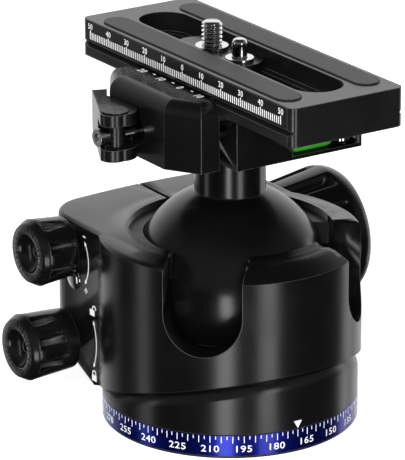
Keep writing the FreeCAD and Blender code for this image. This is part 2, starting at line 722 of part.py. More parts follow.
def cam_lever():
    """Forked lever: two cam plates round the barrel and a handle that thins to its tip."""
    height = LEVER_TOP - LEVER_BOTTOM
    lever = lever_outline().extrude(V(0, 0, height))
    reach = math.hypot(LEVER_L, LEVER_TIP_Y) + 1
    drop = LEVER_TIP_DROP
    side = Part.makePolygon([V(reach, -reach, 0), V(-FORK_REACH, -reach, 0), V(-reach, -reach, drop),
                             V(-reach, -reach, height - drop), V(-FORK_REACH, -reach, height),
                             V(reach, -reach, height), V(reach, -reach, 0)])
    lever = lever.common(Part.Face(side).extrude(V(0, 2 * reach, 0)))
    lever = lever.cut(cylinder(FORK_REACH, height - 2 * FORK_T, V(0, 0, FORK_T)))
    lever = lever.cut(cylinder(BARREL_R + RUN, height, V(0, 0, 0)))
    lever = lever.cut(cylinder(BARREL_HEAD_R + RUN, height, V(0, 0, height - BARREL_HEAD_H / 2 - SEAT)))
    lever.translate(V(0, -PIVOT_Y, LEVER_BOTTOM))
    return lever


# Level and stop pin

def level_vial():
    """A tube level lying along the clamp's end."""
    return cylinder(VIAL_R, VIAL_L - 2 * CAP_L, V(stop_x(), POCKET_Y0 + CAP_L, POCKET_Z + VIAL_R), Y)


def vial_caps():
    z = POCKET_Z + VIAL_R
    caps = [cylinder(VIAL_R, CAP_L, V(stop_x(), y, z), Y) for y in (POCKET_Y0, POCKET_Y0 + VIAL_L - CAP_L)]
    return Part.makeCompound(caps)


def stop_pin():
    """A sprung pin in the clamp's end, hollow from below for its spring."""
    z = stop_floor() + STOP_TRAVEL + SEAT / 2
    pin = cylinder(STOP_R, STOP_TOP - z, V(stop_x(), STOP_Y, z))
    pin = pin.cut(cylinder(STOP_BORE, STOP_TOP - z - 2, V(stop_x(), STOP_Y, z)))
    return pin.makeFillet(0.5, [e for e in pin.Edges if e.BoundBox.ZMin > STOP_TOP - 0.01])


def stop_spring():
    z = stop_floor()
    return coil(STOP_SPRING_R, SPRING_WIRE_R, STOP_TOP - 2 - z, STOP_SPRING_TURNS, V(stop_x(), STOP_Y, z))


# Camera plate

def plate_profile():
    """Section of the plate across its length: flanges with a V groove on each side."""
    half = PLATE_W / 2
    v0 = PLATE_BOTTOM + FLANGE_H
    right = [(half - PLATE_EDGE, PLATE_BOTTOM), (half, PLATE_BOTTOM + PLATE_EDGE), (half, v0),
             (half - V_DEPTH, v0 + V_H / 2), (half, v0 + V_H), (half, PLATE_TOP - PLATE_EDGE / 2),
             (half - PLATE_EDGE / 2, PLATE_TOP)]
    return right + [(-y, z) for y, z in reversed(right)]


def camera_plate():
    x0 = PLATE_X - PLATE_L / 2
    points = [V(x0, y, z) for y, z in plate_profile()]
    plate = Part.Face(Part.makePolygon(points + points[:1])).extrude(V(PLATE_L, 0, 0))
    corners = block(x0, x0 + PLATE_L, -PLATE_W / 2, PLATE_W / 2, PLATE_BOTTOM, PLATE_TOP)
    upright = [e for e in corners.Edges if e.BoundBox.ZLength > PLATE_TOP - PLATE_BOTTOM - 0.01]
    plate = plate.common(corners.makeFillet(PLATE_CORNER, upright))
    plate = plate.cut(stadium(SLOT_L, SLOT_W, PLATE_X, 0, SLOT_STEP_Z, PLATE_TOP))
    step = SLOT_W - SLOT_STEP_W
    plate = plate.cut(stadium(SLOT_L - step, SLOT_STEP_W, PLATE_X, 0, PLATE_BOTTOM, SLOT_STEP_Z))
    for side in (-1, 1):
        plate = plate.cut(pad(side, PLATE_TOP - PAD_SUNK, PLATE_TOP))
    for x in stop_screw_places():
        plate = plate.cut(cylinder(STOP_SCREW_R, STOP_SCREW_L, V(x, 0, PLATE_BOTTOM)))
    return plate


def pad(side, z0, z1):
    return stadium(PAD_L, PAD_W, PLATE_X, side * PAD_Y, z0, z1)


def rubber_pads():
    top = PLATE_TOP + PAD_PROUD
    return Part.makeCompound([pad(side, PLATE_TOP - PAD_SUNK, top) for side in (-1, 1)])


def stop_screw_places():
    reach = PLATE_L / 2 - STOP_SCREW_INSET
    return [PLATE_X - reach, PLATE_X + reach]


def stop_screws():
    """Two screws under the plate that stop it sliding out of the clamp."""
    screws = []
    for x in stop_screw_places():
        head = cylinder(STOP_SCREW_HEAD_R, STOP_SCREW_HEAD_H, V(x, 0, PLATE_BOTTOM - STOP_SCREW_HEAD_H))
        screws.append(head.fuse(cylinder(STOP_SCREW_R, STOP_SCREW_L, V(x, 0, PLATE_BOTTOM))))
    return Part.makeCompound(screws)


# Carriage, camera screw and video pin

def carriage():
    """The slide in the plate's slot that carries the camera screw and the video pin."""
    body = stadium(CARRIAGE_L, SLOT_W - 2 * SEAT, CARRIAGE_X, 0, SLOT_STEP_Z + SEAT, CARRIAGE_TOP)
    step = SLOT_W - SLOT_STEP_W
    lower = stadium(CARRIAGE_L - step, SLOT_STEP_W - 2 * SEAT, CARRIAGE_X, 0, carriage_bottom(), SLOT_STEP_Z + SEAT)
    body = body.fuse(lower).removeSplitter()
    body = body.cut(cylinder(CAMERA_SCREW_R + RUN, CARRIAGE_TOP, V(SCREW_X, 0, 0)))
    head_room = cylinder(CAMERA_HEAD_R + EASE, CAMERA_HEAD_H + SEAT, V(SCREW_X, 0, carriage_bottom()))
    body = body.cut(head_room)
    body = body.cut(cylinder(PIN_R + RUN, CARRIAGE_TOP, V(PIN_X, 0, pin_floor())))
    return body.cut(cylinder(PIN_COLLAR_R - 1, pin_room(), V(PIN_X, 0, pin_floor())))


def carriage_bottom():
    return PLATE_BOTTOM + SEAT


def pin_floor():
    return carriage_bottom() + 1


def pin_room():
    return CARRIAGE_TOP - 1.5 - pin_floor()


def camera_screw():
    """The captive camera screw: slotted head below, collar and stud above."""
    z = carriage_bottom()
    screw = cylinder(CAMERA_HEAD_R, CAMERA_HEAD_H, V(SCREW_X, 0, z))
    thread = CARRIAGE_TOP + SEAT + CAMERA_COLLAR_H + THREAD_LIFT
    screw = screw.fuse(cylinder(CAMERA_SHANK_R, thread - z, V(SCREW_X, 0, z)))
    screw = screw.fuse(cylinder(CAMERA_SCREW_R, CAMERA_SCREW_TOP - thread, V(SCREW_X, 0, thread)))
    screw = screw.cut(block(SCREW_X - CAMERA_HEAD_R, SCREW_X + CAMERA_HEAD_R, -0.6, 0.6, z, z + 1.2))
    top = [e for e in screw.Edges if e.BoundBox.ZMin > CAMERA_SCREW_TOP - 0.01]
    return screw.makeChamfer(CAMERA_SCREW_CHAMFER, top)


def screw_collar():
    """The collar that keeps the camera screw in the carriage."""
    return tube(CAMERA_COLLAR_R, CAMERA_SHANK_R, CAMERA_COLLAR_H, V(SCREW_X, 0, CARRIAGE_TOP + SEAT))


def video_pin():
    """The sprung pin that stops a camera turning on the plate."""
    z = pin_floor() + PIN_TRAVEL + SEAT
    flange = cylinder(PIN_COLLAR_R - 1 - RUN, CARRIAGE_TOP - 1.5 - z - SEAT, V(PIN_X, 0, z))
    free_end = CARRIAGE_TOP + CAMERA_COLLAR_H + THREAD_LIFT
    pin = flange.fuse(cylinder(PIN_SHANK_R, free_end - z, V(PIN_X, 0, z)))
    pin = pin.fuse(cylinder(PIN_R, PIN_TOP - free_end, V(PIN_X, 0, free_end)))
    return pin.makeFillet(PIN_R * 0.6, [e for e in pin.Edges if e.BoundBox.ZMin > PIN_TOP - 0.01])


def pin_collar():
    """A bush pressed on the carriage round the video pin."""
    return tube(PIN_COLLAR_R, PIN_R + RUN, CAMERA_COLLAR_H, V(PIN_X, 0, CARRIAGE_TOP))


def pin_spring():
    length = PIN_TRAVEL + SEAT
    return coil(PIN_R - 0.4, SPRING_WIRE_R * 0.8, length, PIN_SPRING_TURNS, V(PIN_X, 0, pin_floor()))


NODES = {
    "base_plate": base_plate,
    "degree_ring": degree_ring,
    "pan_drum": pan_drum,
    "thread_insert": thread_insert,
    "base_screws": base_screws,
    "housing": housing,
    "retaining_ring": retaining_ring,
    "upper_ball_liner": upper_ball_liner,
    "seat_spring": seat_spring,
    "ball_seat": ball_seat,
    "ball": ball,
    "stem_bolt": stem_bolt,
    "stem_dowel": lambda: dowel_shape(0),
    "main_knob": main_knob,
    "main_screw": lambda: knob_screw(*CLAMP_SCREWS[0], MAIN_L),
    "main_washer": lambda: knob_washer(*CLAMP_SCREWS[0]),
    "friction_knob": friction_knob,
    "friction_screw": lambda: knob_screw(*CLAMP_SCREWS[1], FRICTION_L),
    "friction_washer": lambda: knob_washer(*CLAMP_SCREWS[1]),
    "pan_knob": pan_knob,
    "pan_screw": lambda: knob_screw(*CLAMP_SCREWS[2], PAN_L),
    "pan_washer": lambda: knob_washer(*CLAMP_SCREWS[2]),
    "clamp_body": clamp_body,
    "clamp_jaw": clamp_jaw,
    "guide_pins": guide_pins,
    "jaw_spring": jaw_spring,
    "tie_rod": tie_rod,
    "tie_nut": tie_nut,
    "pivot_barrel": pivot_barrel,
    "cam_lever": cam_lever,
    "level_vial": level_vial,
    "vial_caps": vial_caps,
    "stop_pin": stop_pin,
    "stop_spring": stop_spring,
    "camera_plate": camera_plate,
    "rubber_pads": rubber_pads,
    "stop_screws": stop_screws,
    "carriage": carriage,
    "camera_screw": camera_screw,
    "screw_collar": screw_collar,
    "video_pin": video_pin,
    "pin_collar": pin_collar,
    "pin_spring": pin_spring,
}

os.makedirs("parts", exist_ok=True)
for name, make in NODES.items():
    shape = make()
    shape.exportStep(f"parts/{name}.step")
    print(name, len(shape.Solids), "solid", round(shape.Volume), "mm3", "valid" if shape.isValid() else "NOT VALID")
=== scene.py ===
"""The looks of a tripod ball head: its finishes, prints, screw thread, pads and level, in a plain studio."""

import logging
import math
from collections.abc import Callable
from dataclasses import dataclass
from enum import Enum

import bmesh
import bpy
import numpy as np
from bpy.types import ID, Material, Mesh, Node, NodeSocket, NodeTree, Object, World, bpy_prop_collection
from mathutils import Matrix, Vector


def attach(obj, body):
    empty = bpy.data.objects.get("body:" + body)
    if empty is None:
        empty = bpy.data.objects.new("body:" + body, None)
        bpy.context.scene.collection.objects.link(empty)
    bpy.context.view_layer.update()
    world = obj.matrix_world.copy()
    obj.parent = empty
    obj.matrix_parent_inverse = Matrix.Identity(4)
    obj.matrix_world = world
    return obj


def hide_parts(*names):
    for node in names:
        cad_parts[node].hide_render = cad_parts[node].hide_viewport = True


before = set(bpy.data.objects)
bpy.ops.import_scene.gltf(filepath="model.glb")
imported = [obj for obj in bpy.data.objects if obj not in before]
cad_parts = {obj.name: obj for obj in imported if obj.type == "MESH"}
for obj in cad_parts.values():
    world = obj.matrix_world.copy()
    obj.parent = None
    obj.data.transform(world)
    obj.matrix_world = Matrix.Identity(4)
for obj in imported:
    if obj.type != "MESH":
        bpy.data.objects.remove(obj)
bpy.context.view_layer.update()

MM = 0.001
TAU = 2 * math.pi

# Lengths are in millimetres and angles in degrees, unless a comment says otherwise.
PRINT_PROUD = 0.03  # how far printed paint stands out of its face
PRINT_SUNK = 0.05  # how far it reaches into the face
WELD = 0.001  # corners of a copied node that are closer than this become one
SHARP_ANGLE = 32.0  # edges sharper than this stay crisp on a cut copy
ROUND_REACH = 0.1  # how near to a cylinder a corner has to lie to take its normal
ROUND_FACING = 0.985  # and how straight out its face has to look, as a cosine
NOISE_RANGE = (0.3, 0.7)  # nearly all values of a noise lie between these

Placer = Callable[[np.ndarray], np.ndarray]

log = logging.getLogger("ball_head")


class Body(Enum):
    """The moving bodies that new pieces ride on."""

    BASE = "base"
    HOUSING = "housing"
    HEAD = "head"
    JAW = "jaw"
    PLATE = "plate"
    SCREW = "camera_screw"
    MAIN_KNOB = "main_knob"
    FRICTION_KNOB = "friction_knob"
    PAN_KNOB = "pan_knob"


class Slot(Enum):
    """The record's material slots, passed along with new pieces."""

    BLACK = "anodised_black"
    BLUE = "ring_blue"
    CHROME = "chrome"
    GREEN = "vial_green"


class NodeSheet:
    """A short way to write a node tree."""

    def __init__(self, tree: NodeTree) -> None:
        """Keeps the tree that the nodes go in."""
        self.tree = tree

    @classmethod
    def on(cls, owner: Material | World) -> "NodeSheet":
        """A sheet for the emptied node tree of a material or a world."""
        owner.use_nodes = True
        owner.node_tree.nodes.clear()
        return cls(owner.node_tree)

    def add(self, kind: str, settings: dict | None = None, **values: object) -> Node:
        """Adds a shader node.

        Args:
            kind: the node's type name after ShaderNode.
            settings: attributes of the node to set.
            values: input sockets by name, with underscores for spaces: a number, a colour or a socket to link.

        Returns:
            The new node.
        """
        node = self.tree.nodes.new("ShaderNode" + kind)
        for key, value in (settings or {}).items():
            setattr(node, key, value)
        for key, value in values.items():
            self.feed(node.inputs[key.replace("_", " ")], value)
        return node

    def feed(self, socket: NodeSocket, value: object) -> None:
        """Links a socket to the input, or sets the input's own value."""
        if isinstance(value, NodeSocket):
            self.tree.links.new(value, socket)
        else:
            socket.default_value = value

    def math(self, operation: str, a: object, b: object = 0.0, clamp: bool = False) -> NodeSocket:
        """A Math node's result."""
        node = self.add("Math", {"operation": operation, "use_clamp": clamp})
        self.feed(node.inputs[0], a)
        self.feed(node.inputs[1], b)
        return node.outputs[0]

    def spread(self, value: object, low: float, high: float, to_low: float, to_high: float) -> NodeSocket:
        """Carries a value from one range to another, with its ends held."""
        node = self.add("MapRange", Value=value, From_Min=low, From_Max=high, To_Min=to_low, To_Max=to_high)
        return node.outputs["Result"]

    def blend(self, factor: object, dark: object, light: tuple) -> NodeSocket:
        """A colour between two others."""
        node = self.add("Mix", {"data_type": "RGBA"})
        for place, value in ((0, factor), (6, dark), (7, light)):
            self.feed(node.inputs[place], value)
        return node.outputs[2]

    def mixed(self, factor: NodeSocket, first: Node, second: Node) -> Node:
        """A shader between two others."""
        node = self.add("MixShader")
        for place, value in enumerate((factor, first.outputs[0], second.outputs[0])):
            self.feed(node.inputs[place], value)
        return node

    def noise(self, scale: object, detail: float) -> NodeSocket:
        """A noise in the object's own space."""
        place = self.add("TexCoord").outputs["Object"]
        return self.add("TexNoise", Vector=place, Scale=scale, Detail=detail).outputs[0]

    def show(self, shader: Node, kind: str = "Material") -> None:
        """Ends the tree with the output that shows a shader."""
        output = self.add("Output" + kind)
        self.feed(output.inputs["Surface"], shader.outputs[0])


def rgba(red: float, green: float, blue: float) -> tuple[float, float, float, float]:
    """An opaque linear colour."""
    return red, green, blue, 1.0


def grey(level: float) -> tuple[float, float, float, float]:
    """An opaque neutral grey."""
    return rgba(level, level, level)


def dimmed(colour: tuple, share: float) -> tuple[float, float, float, float]:
    """A share of a colour's light."""
    return rgba(*(share * channel for channel in colour[:3]))


class SharedGroups:
    """Node groups that more than one finish uses, each built once."""

    def __init__(self) -> None:
        """Builds the groups."""
        self.grain = self._grain()
        self.edges = self._edges()

    @staticmethod
    def _new(name: str, inputs: dict[str, float], outputs: dict[str, str]) -> tuple[NodeSheet, object, object]:
        """An empty group with its sockets.

        Args:
            name: the group's name.
            inputs: float inputs and their defaults.
            outputs: outputs and their socket types.

        Returns:
            The sheet to write on, the group's input node and its output node.
        """
        tree = bpy.data.node_groups.new(name, "ShaderNodeTree")
        for key, value in inputs.items():
            socket = tree.interface.new_socket(name=key, in_out="INPUT", socket_type="NodeSocketFloat")
            socket.default_value = value
        for key, kind in outputs.items():
            tree.interface.new_socket(name=key, in_out="OUTPUT", socket_type=kind)
        sheet = NodeSheet(tree)
        return sheet, tree.nodes.new("NodeGroupInput"), tree.nodes.new("NodeGroupOutput")

    def _grain(self) -> NodeTree:
        """Blasted and anodised grain: a fine height, and slow clouds for tone."""
        sheet, source, result = self._new(
            "fine_grain",
            {"Grain Size": 0.25, "Cloud Size": 12.0},
            {"Height": "NodeSocketFloat", "Cloud": "NodeSocketFloat"},
        )
        for size, detail, name in (("Grain Size", 2.0, "Height"), ("Cloud Size", 3.0, "Cloud")):
            scale = sheet.math("DIVIDE", 1 / MM, source.outputs[size])
            sheet.feed(result.inputs[name], sheet.noise(scale, detail))
        return sheet.tree

    def _edges(self) -> NodeTree:
        """A mask of the outer edges, where a lighter tone paints a highlight: how far a rounded normal turns from
        the true one.
        """
        sheet, source, result = self._new(
            "painted_edge_highlight", {"Radius": 0.3, "Gain": 6.0}, {"Mask": "NodeSocketFloat", "Normal": "NodeSocketVector"}
        )
        radius = sheet.math("MULTIPLY", source.outputs["Radius"], MM)
        rounded = sheet.add("Bevel", {"samples": 6}, Radius=radius)
        true_normal = sheet.add("NewGeometry").outputs["Normal"]
        dot = sheet.add("VectorMath", {"operation": "DOT_PRODUCT"})
        sheet.feed(dot.inputs[0], rounded.outputs[0])
        sheet.feed(dot.inputs[1], true_normal)
        turn = sheet.math("SUBTRACT", 1.0, dot.outputs["Value"])
        sheet.feed(result.inputs["Mask"], sheet.math("MULTIPLY", turn, source.outputs["Gain"], clamp=True))
        sheet.feed(result.inputs["Normal"], rounded.outputs[0])
        return sheet.tree


@dataclass(frozen=True)
class MetalFinish:
    """A blasted, turned or polished metal with a fine grain, soft clouds and a painted highlight on its edges."""

    name: str
    dark: tuple
    light: tuple
    # the lighter colour of the outer edges: a painted highlight
    edge: tuple
    metallic: float
    rough: tuple[float, float]
    coat: float = 0.0
    coat_rough: float = 0.1
    grain_size: float = 0.25
    grain_depth: float = 0.004
    grain_strength: float = 0.6
    round_radius: float = 0.35
    edge_gain: float = 3.0

    def material(self, groups: SharedGroups) -> Material:
        """Builds the material.

        Args:
            groups: the shared node groups.

        Returns:
            The material.
        """
        made = bpy.data.materials.new(self.name)
        sheet = NodeSheet.on(made)
        grain = sheet.add("Group", {"node_tree": groups.grain}, Grain_Size=self.grain_size)
        edges = sheet.add(
            "Group", {"node_tree": groups.edges}, Radius=self.round_radius, Gain=self.edge_gain
        )
        cloud = grain.outputs["Cloud"]
        tone = sheet.blend(sheet.spread(cloud, *NOISE_RANGE, 0.0, 1.0), self.dark, self.light)
        bump = sheet.add(
            "Bump",
            Height=grain.outputs["Height"],
            Normal=edges.outputs["Normal"],
            Strength=self.grain_strength,
            Distance=self.grain_depth * MM,
        )
        shader = sheet.add(
            "BsdfPrincipled",
            # the outer edges take the lighter edge colour, a painted highlight
            Base_Color=sheet.blend(edges.outputs["Mask"], tone, self.edge),
            Roughness=sheet.spread(cloud, *NOISE_RANGE, *self.rough),
            Normal=bump.outputs[0],
            Metallic=self.metallic,
            Coat_Weight=self.coat,
            Coat_Roughness=self.coat_rough,
        )
        sheet.show(shader)
        return made


@dataclass(frozen=True)
class PaintFinish:
    """White screen-printed or filled paint."""

    name: str
    colour: tuple
    worn: float = 0.85
    rough: tuple[float, float] = (0.45, 0.6)

    def material(self) -> Material:
        """Builds the material: a faint mottle in tone and roughness."""
        made = bpy.data.materials.new(self.name)
        sheet = NodeSheet.on(made)
        mottle = sheet.noise(1.0 / MM, 2.0)
        tone = sheet.blend(mottle, dimmed(self.colour, self.worn), self.colour)
        rough = sheet.spread(mottle, *NOISE_RANGE, *self.rough)
        sheet.show(sheet.add("BsdfPrincipled", Base_Color=tone, Roughness=rough))
        return made


@dataclass(frozen=True)
class RubberFinish:
    """Moulded rubber with fine crossed ribs."""

    name: str
    # low is the painted shade in the ribs' valleys, high the painted highlight on their crests
    low: tuple
    high: tuple
    rib_pitch: float
    rib_depth: float
    rough: float = 0.42

    def material(self) -> Material:
        """Builds the material: two families of ribs at right angles, each slanting across the strips, painted
        darker in their valleys and lighter on their crests as shade and highlight.
        """
        made = bpy.data.materials.new(self.name)
        sheet = NodeSheet.on(made)
        parts = sheet.add("SeparateXYZ", Vector=sheet.add("TexCoord").outputs["Object"])
        along, across = parts.outputs["X"], parts.outputs["Y"]
        scale = TAU / (self.rib_pitch * MM)
        waves = []
        for operation in ("ADD", "SUBTRACT"):
            slant = sheet.math("MULTIPLY", sheet.math(operation, along, across), scale)
            waves.append(sheet.math("SINE", slant))
        ribs = sheet.spread(sheet.math("MULTIPLY", waves[0], waves[1]), -1.0, 1.0, 0.0, 1.0)
        # painted shade in the valleys and painted highlight on the crests
        tone = sheet.blend(ribs, self.low, self.high)
        bump = sheet.add("Bump", Height=ribs, Distance=self.rib_depth * MM).outputs[0]
        sheet.show(sheet.add("BsdfPrincipled", Base_Color=tone, Normal=bump, Roughness=self.rough))
        return made


@dataclass(frozen=True)
class LiquidFinish:
    """Tinted level liquid seen through its glass, with a painted glow."""

    name: str
    colour: tuple
    # how strongly the liquid glows: painted light
    glow: float
    deep: float = 0.7
    rough: float = 0.08
    coat: float = 0.6

    def material(self) -> Material:
        """Builds the material: a glossy green with slow swirls, which glows a little as painted light."""
        made = bpy.data.materials.new(self.name)
        sheet = NodeSheet.on(made)
        tone = sheet.blend(sheet.noise(0.3 / MM, 1.0), dimmed(self.colour, self.deep), self.colour)
        # the emission paints light onto the liquid
        shader = sheet.add(
            "BsdfPrincipled",
            Base_Color=tone,
            Emission_Color=tone,
            Emission_Strength=self.glow,
            Roughness=self.rough,
            Coat_Weight=self.coat,
        )
        sheet.show(shader)
        return made


class Finishes:
    """Every material of the ball head, each built once."""

    def __init__(self) -> None:
        """Builds the materials: two tones and a lighter edge tone that paints a highlight on the edges, metallic
        share and roughness for each metal.
        """
        groups = SharedGroups()
        black, soft_black = rgba(0.0030, 0.0028, 0.0028), rgba(0.0045, 0.0042, 0.0042)
        # the lighter tone of the edges, a painted highlight; each metal below has its own
        edge_highlight_black = rgba(0.12, 0.115, 0.115)

        def metal(*looks: object, **details: float) -> Material:
            """One metal's material."""
            return MetalFinish(*looks, **details).material(groups)

        self.black = metal("black_anodised", black, soft_black, edge_highlight_black, 0.0, (0.22, 0.27))
        self.ball_black = metal(
            "black_ball", rgba(0.0025, 0.0023, 0.0023), rgba(0.0035, 0.0033, 0.0033), edge_highlight_black,
            0.0, (0.20, 0.24), grain_size=0.15, grain_depth=0.002,
        )
        # the knobs take a stronger painted highlight on their edges
        self.knob_black = metal(
            "black_knobs", black, soft_black, rgba(0.16, 0.155, 0.155), 0.0, (0.18, 0.23), round_radius=0.45
        )
        self.plate_black = metal(
            "black_plate", rgba(0.0060, 0.0058, 0.0058), rgba(0.0090, 0.0088, 0.0088), grey(0.10),
            0.0, (0.20, 0.24), grain_depth=0.003,
        )
        self.blue = metal(
            "blue_anodised", rgba(0.004, 0.010, 0.20), rgba(0.006, 0.014, 0.26), rgba(0.05, 0.10, 0.75),
            0.9, (0.22, 0.28), grain_size=0.12, grain_depth=0.001, coat=0.2,
        )
        self.chrome = metal(
            "polished_chrome", grey(0.72), grey(0.80), grey(0.9),
            1.0, (0.07, 0.12), grain_size=0.1, grain_depth=0.0005, round_radius=0.12,
        )
        self.steel = metal(
            "bright_steel", rgba(0.42, 0.42, 0.43), rgba(0.5, 0.5, 0.51), grey(0.7),
            1.0, (0.28, 0.36), round_radius=0.15,
        )
        self.acetal = metal("black_acetal", grey(0.008), grey(0.012), grey(0.02), 0.0, (0.4, 0.5))
        self.rubber = RubberFinish("ribbed_rubber", grey(0.004), grey(0.05), 1.0, 0.12).material()
        self.paint = PaintFinish("white_print", grey(0.92)).material()
        self.liquid = LiquidFinish("green_liquid", rgba(0.05, 0.33, 0.03), 0.12).material()


@dataclass
class Shape:
    """Vertices in millimetres and faces, as they go into a mesh."""

    points: np.ndarray
    faces: list

    def moved(self, place: Placer) -> "Shape":
        """The same faces with every point put through a function of the whole array."""
        return Shape(place(self.points), self.faces)

    def shifted(self, x: float, y: float, z: float = 0.0) -> "Shape":
        """The same faces with every point moved by as much."""
        return Shape(self.points + np.array([x, y, z]), self.faces)


def joined(shapes: list[Shape]) -> Shape:
    """Puts several shapes into one, in order."""
    faces = []
    start = 0
    for shape in shapes:
        faces.extend([tuple(int(i) + start for i in face) for face in shape.faces])
        start += len(shape.points)
    return Shape(np.concatenate([shape.points for shape in shapes]), faces)


def around(columns: int) -> np.ndarray:
    """The angles of a ring's columns, in radians."""
    return np.linspace(0, TAU, columns, endpoint=False)


def grid_faces(rows: int, columns: int) -> list:
    """The quads between rows of points, where each row closes into a ring."""
    row, column = np.meshgrid(np.arange(rows - 1) * columns, np.arange(columns), indexing="ij")
    after = (column + 1) % columns
    corners = (row + column, row + after, row + columns + after, row + columns + column)
    return np.stack(corners, axis=-1).reshape(-1, 4).tolist()


def turned_surface(radius: np.ndarray, height: np.ndarray, angle: np.ndarray) -> Shape:
    """A surface round the Z axis, its ends closed on the axis.

    A point is (r cos a, r sin a, h), with r and h given for each row, or for each row and angle.

    Args:
        radius: rows by columns, or rows.
        height: the same.
        angle: one angle a column.

    Returns:
        The closed surface.
    """
    columns = len(angle)
    radius = np.broadcast_to(radius[:, None] if radius.ndim == 1 else radius, (len(radius), columns))
    height = np.broadcast_to(height[:, None] if height.ndim == 1 else height, radius.shape)
    ring = np.stack([radius * np.cos(angle), radius * np.sin(angle), height], axis=-1).reshape(-1, 3)
    low, high = len(ring), len(ring) + 1
    ends = np.array([[0, 0, height[0].mean()], [0, 0, height[-1].mean()]])
    faces = grid_faces(len(radius), columns)
    last = (len(radius) - 1) * columns
    faces += [(low, (i + 1) % columns, i) for i in range(columns)]
    faces += [(high, last + i, last + (i + 1) % columns) for i in range(columns)]
    return Shape(np.concatenate([ring, ends]), faces)


BOX_SIGNS = np.array([[x, y, z] for z in (-1, 1) for x, y in ((-1, -1), (1, -1), (1, 1), (-1, 1))])
BOX_FACES = [(3, 2, 1, 0), (4, 5, 6, 7), (0, 1, 5, 4), (1, 2, 6, 5), (2, 3, 7, 6), (3, 0, 4, 7)]


def block(low: tuple[float, float, float], high: tuple[float, float, float]) -> Shape:
    """A box between two corners."""
    first, last = np.array(low), np.array(high)
    return Shape((first + last) / 2 + BOX_SIGNS * (last - first) / 2, BOX_FACES)


def paint_bar(across: float, up: float, width: float, height: float) -> Shape:
    """A small raised bar of paint on the flat: across, up and out of the surface."""
    low = (across - width / 2, up - height / 2, -PRINT_SUNK)
    return block(low, (across + width / 2, up + height / 2, PRINT_PROUD))


def paint_band(line: np.ndarray, width: float) -> Shape:
    """A raised line of paint along a flat path.

    Each point of the path is set off to both sides along its normal, at the top and at the bottom of the paint.

    Args:
        line: points across and up, in order.
        width: the line's width.

    Returns:
        The closed band.
    """
    along = np.gradient(line, axis=0)
    along /= np.linalg.norm(along, axis=1)[:, None]
    side = np.stack([-along[:, 1], along[:, 0]], axis=1) * width / 2
    corners = []
    for sign, out in ((1, PRINT_PROUD), (-1, PRINT_PROUD), (-1, -PRINT_SUNK), (1, -PRINT_SUNK)):
        corners.append(np.column_stack([line + sign * side, np.full(len(line), out)]))
    points = np.stack(corners, axis=1).reshape(-1, 3)
    last = 4 * (len(line) - 1)
    faces = [tuple(reversed(face)) for face in grid_faces(len(line), 4)]
    return Shape(points, faces + [(0, 1, 2, 3), (last + 3, last + 2, last + 1, last)])


def paint_polygon(outline: list[tuple[float, float]]) -> Shape:
    """A raised flat patch of paint with a convex outline, given the way round that faces out."""
    count = len(outline)
    flat = np.array(outline)
    top = np.column_stack([flat, np.full(count, PRINT_PROUD)])
    bottom = np.column_stack([flat, np.full(count, -PRINT_SUNK)])
    sides = [(i + count, (i + 1) % count + count, (i + 1) % count, i) for i in range(count)]
    faces = [tuple(range(count)), tuple(reversed(range(count, 2 * count)))] + sides
    return Shape(np.concatenate([top, bottom]), faces)


def lettering(text: str, height: float, weight: float = 0.0, stretch: float = 1.0) -> Shape:
    """Numbers as raised paint on the flat, centred on their own middle.

    Args:
        text: the digits.
        height: the height of a digit.
        weight: how much bolder the strokes are made, as a share of the height.
        stretch: how much wider than the plain letter.

    Returns:
        The closed letters.
    """
    curve = bpy.data.curves.new("letters", "FONT")
    curve.body = text
    curve.resolution_u = 3
    curve.extrude = 0.5
    curve.offset = weight
    curve.space_character = 1.08
    holder = linked("letters", curve)
    graph = bpy.context.evaluated_depsgraph_get()
    mesh = bpy.data.meshes.new_from_object(holder.evaluated_get(graph))
    points = read(mesh.vertices, "co", 3)
    faces = [tuple(face.vertices) for face in mesh.polygons]
    bpy.data.meshes.remove(mesh)
    bpy.data.objects.remove(holder)
    bpy.data.curves.remove(curve)
    low, high = points.min(axis=0), points.max(axis=0)
    flat = (points - (low + high) / 2) * height / (high[1] - low[1])
    out = np.where(points[:, 2] > 0, PRINT_PROUD, -PRINT_SUNK)
    return Shape(np.column_stack([flat[:, 0] * stretch, flat[:, 1], out]), faces)


def along_y(way: int, x: float, y: float, z: float) -> Placer:
    """A function that lays a shape's own Z axis along the Y axis.

    Args:
        way: 1 to look along +Y, or -1 to look along -Y.
        x, y, z: where the shape's origin goes.

    Returns:
        The function, which keeps what is up in the shape up.
    """

    def place(points: np.ndarray) -> np.ndarray:
        """Across becomes X, out becomes Y and up becomes Z."""
        return np.column_stack([x - way * points[:, 0], y + way * points[:, 2], z + points[:, 1]])

    return place


def bent(radius: float, degrees: float) -> Placer:
    """A function that bends a flat shape round the Z axis, with its middle at an angle."""

    def place(points: np.ndarray) -> np.ndarray:
        """Across becomes arc length, up becomes height and out becomes radius."""
        angle = math.radians(degrees) + points[:, 0] / radius
        reach = radius + points[:, 2]
        return np.column_stack([reach * np.cos(angle), reach * np.sin(angle), points[:, 1]])

    return place


def linked(name: str, data: ID) -> Object:
    """A new object in the scene."""
    made = bpy.data.objects.new(name, data)
    bpy.context.scene.collection.objects.link(made)
    return made


def mesh_of(name: str, shape: Shape) -> Mesh:
    """A mesh from a shape in millimetres."""
    mesh = bpy.data.meshes.new(name)
    mesh.from_pydata((shape.points * MM).tolist(), [], [tuple(face) for face in shape.faces])
    return mesh


def read(items: bpy_prop_collection, name: str, width: int = 1, kind: type = float) -> np.ndarray:
    """One value of every item of a mesh, as an array with a row an item when the value has a width."""
    values = np.zeros(len(items) * width, dtype=kind)
    items.foreach_get(name, values)
    return values if width == 1 else values.reshape(-1, width)


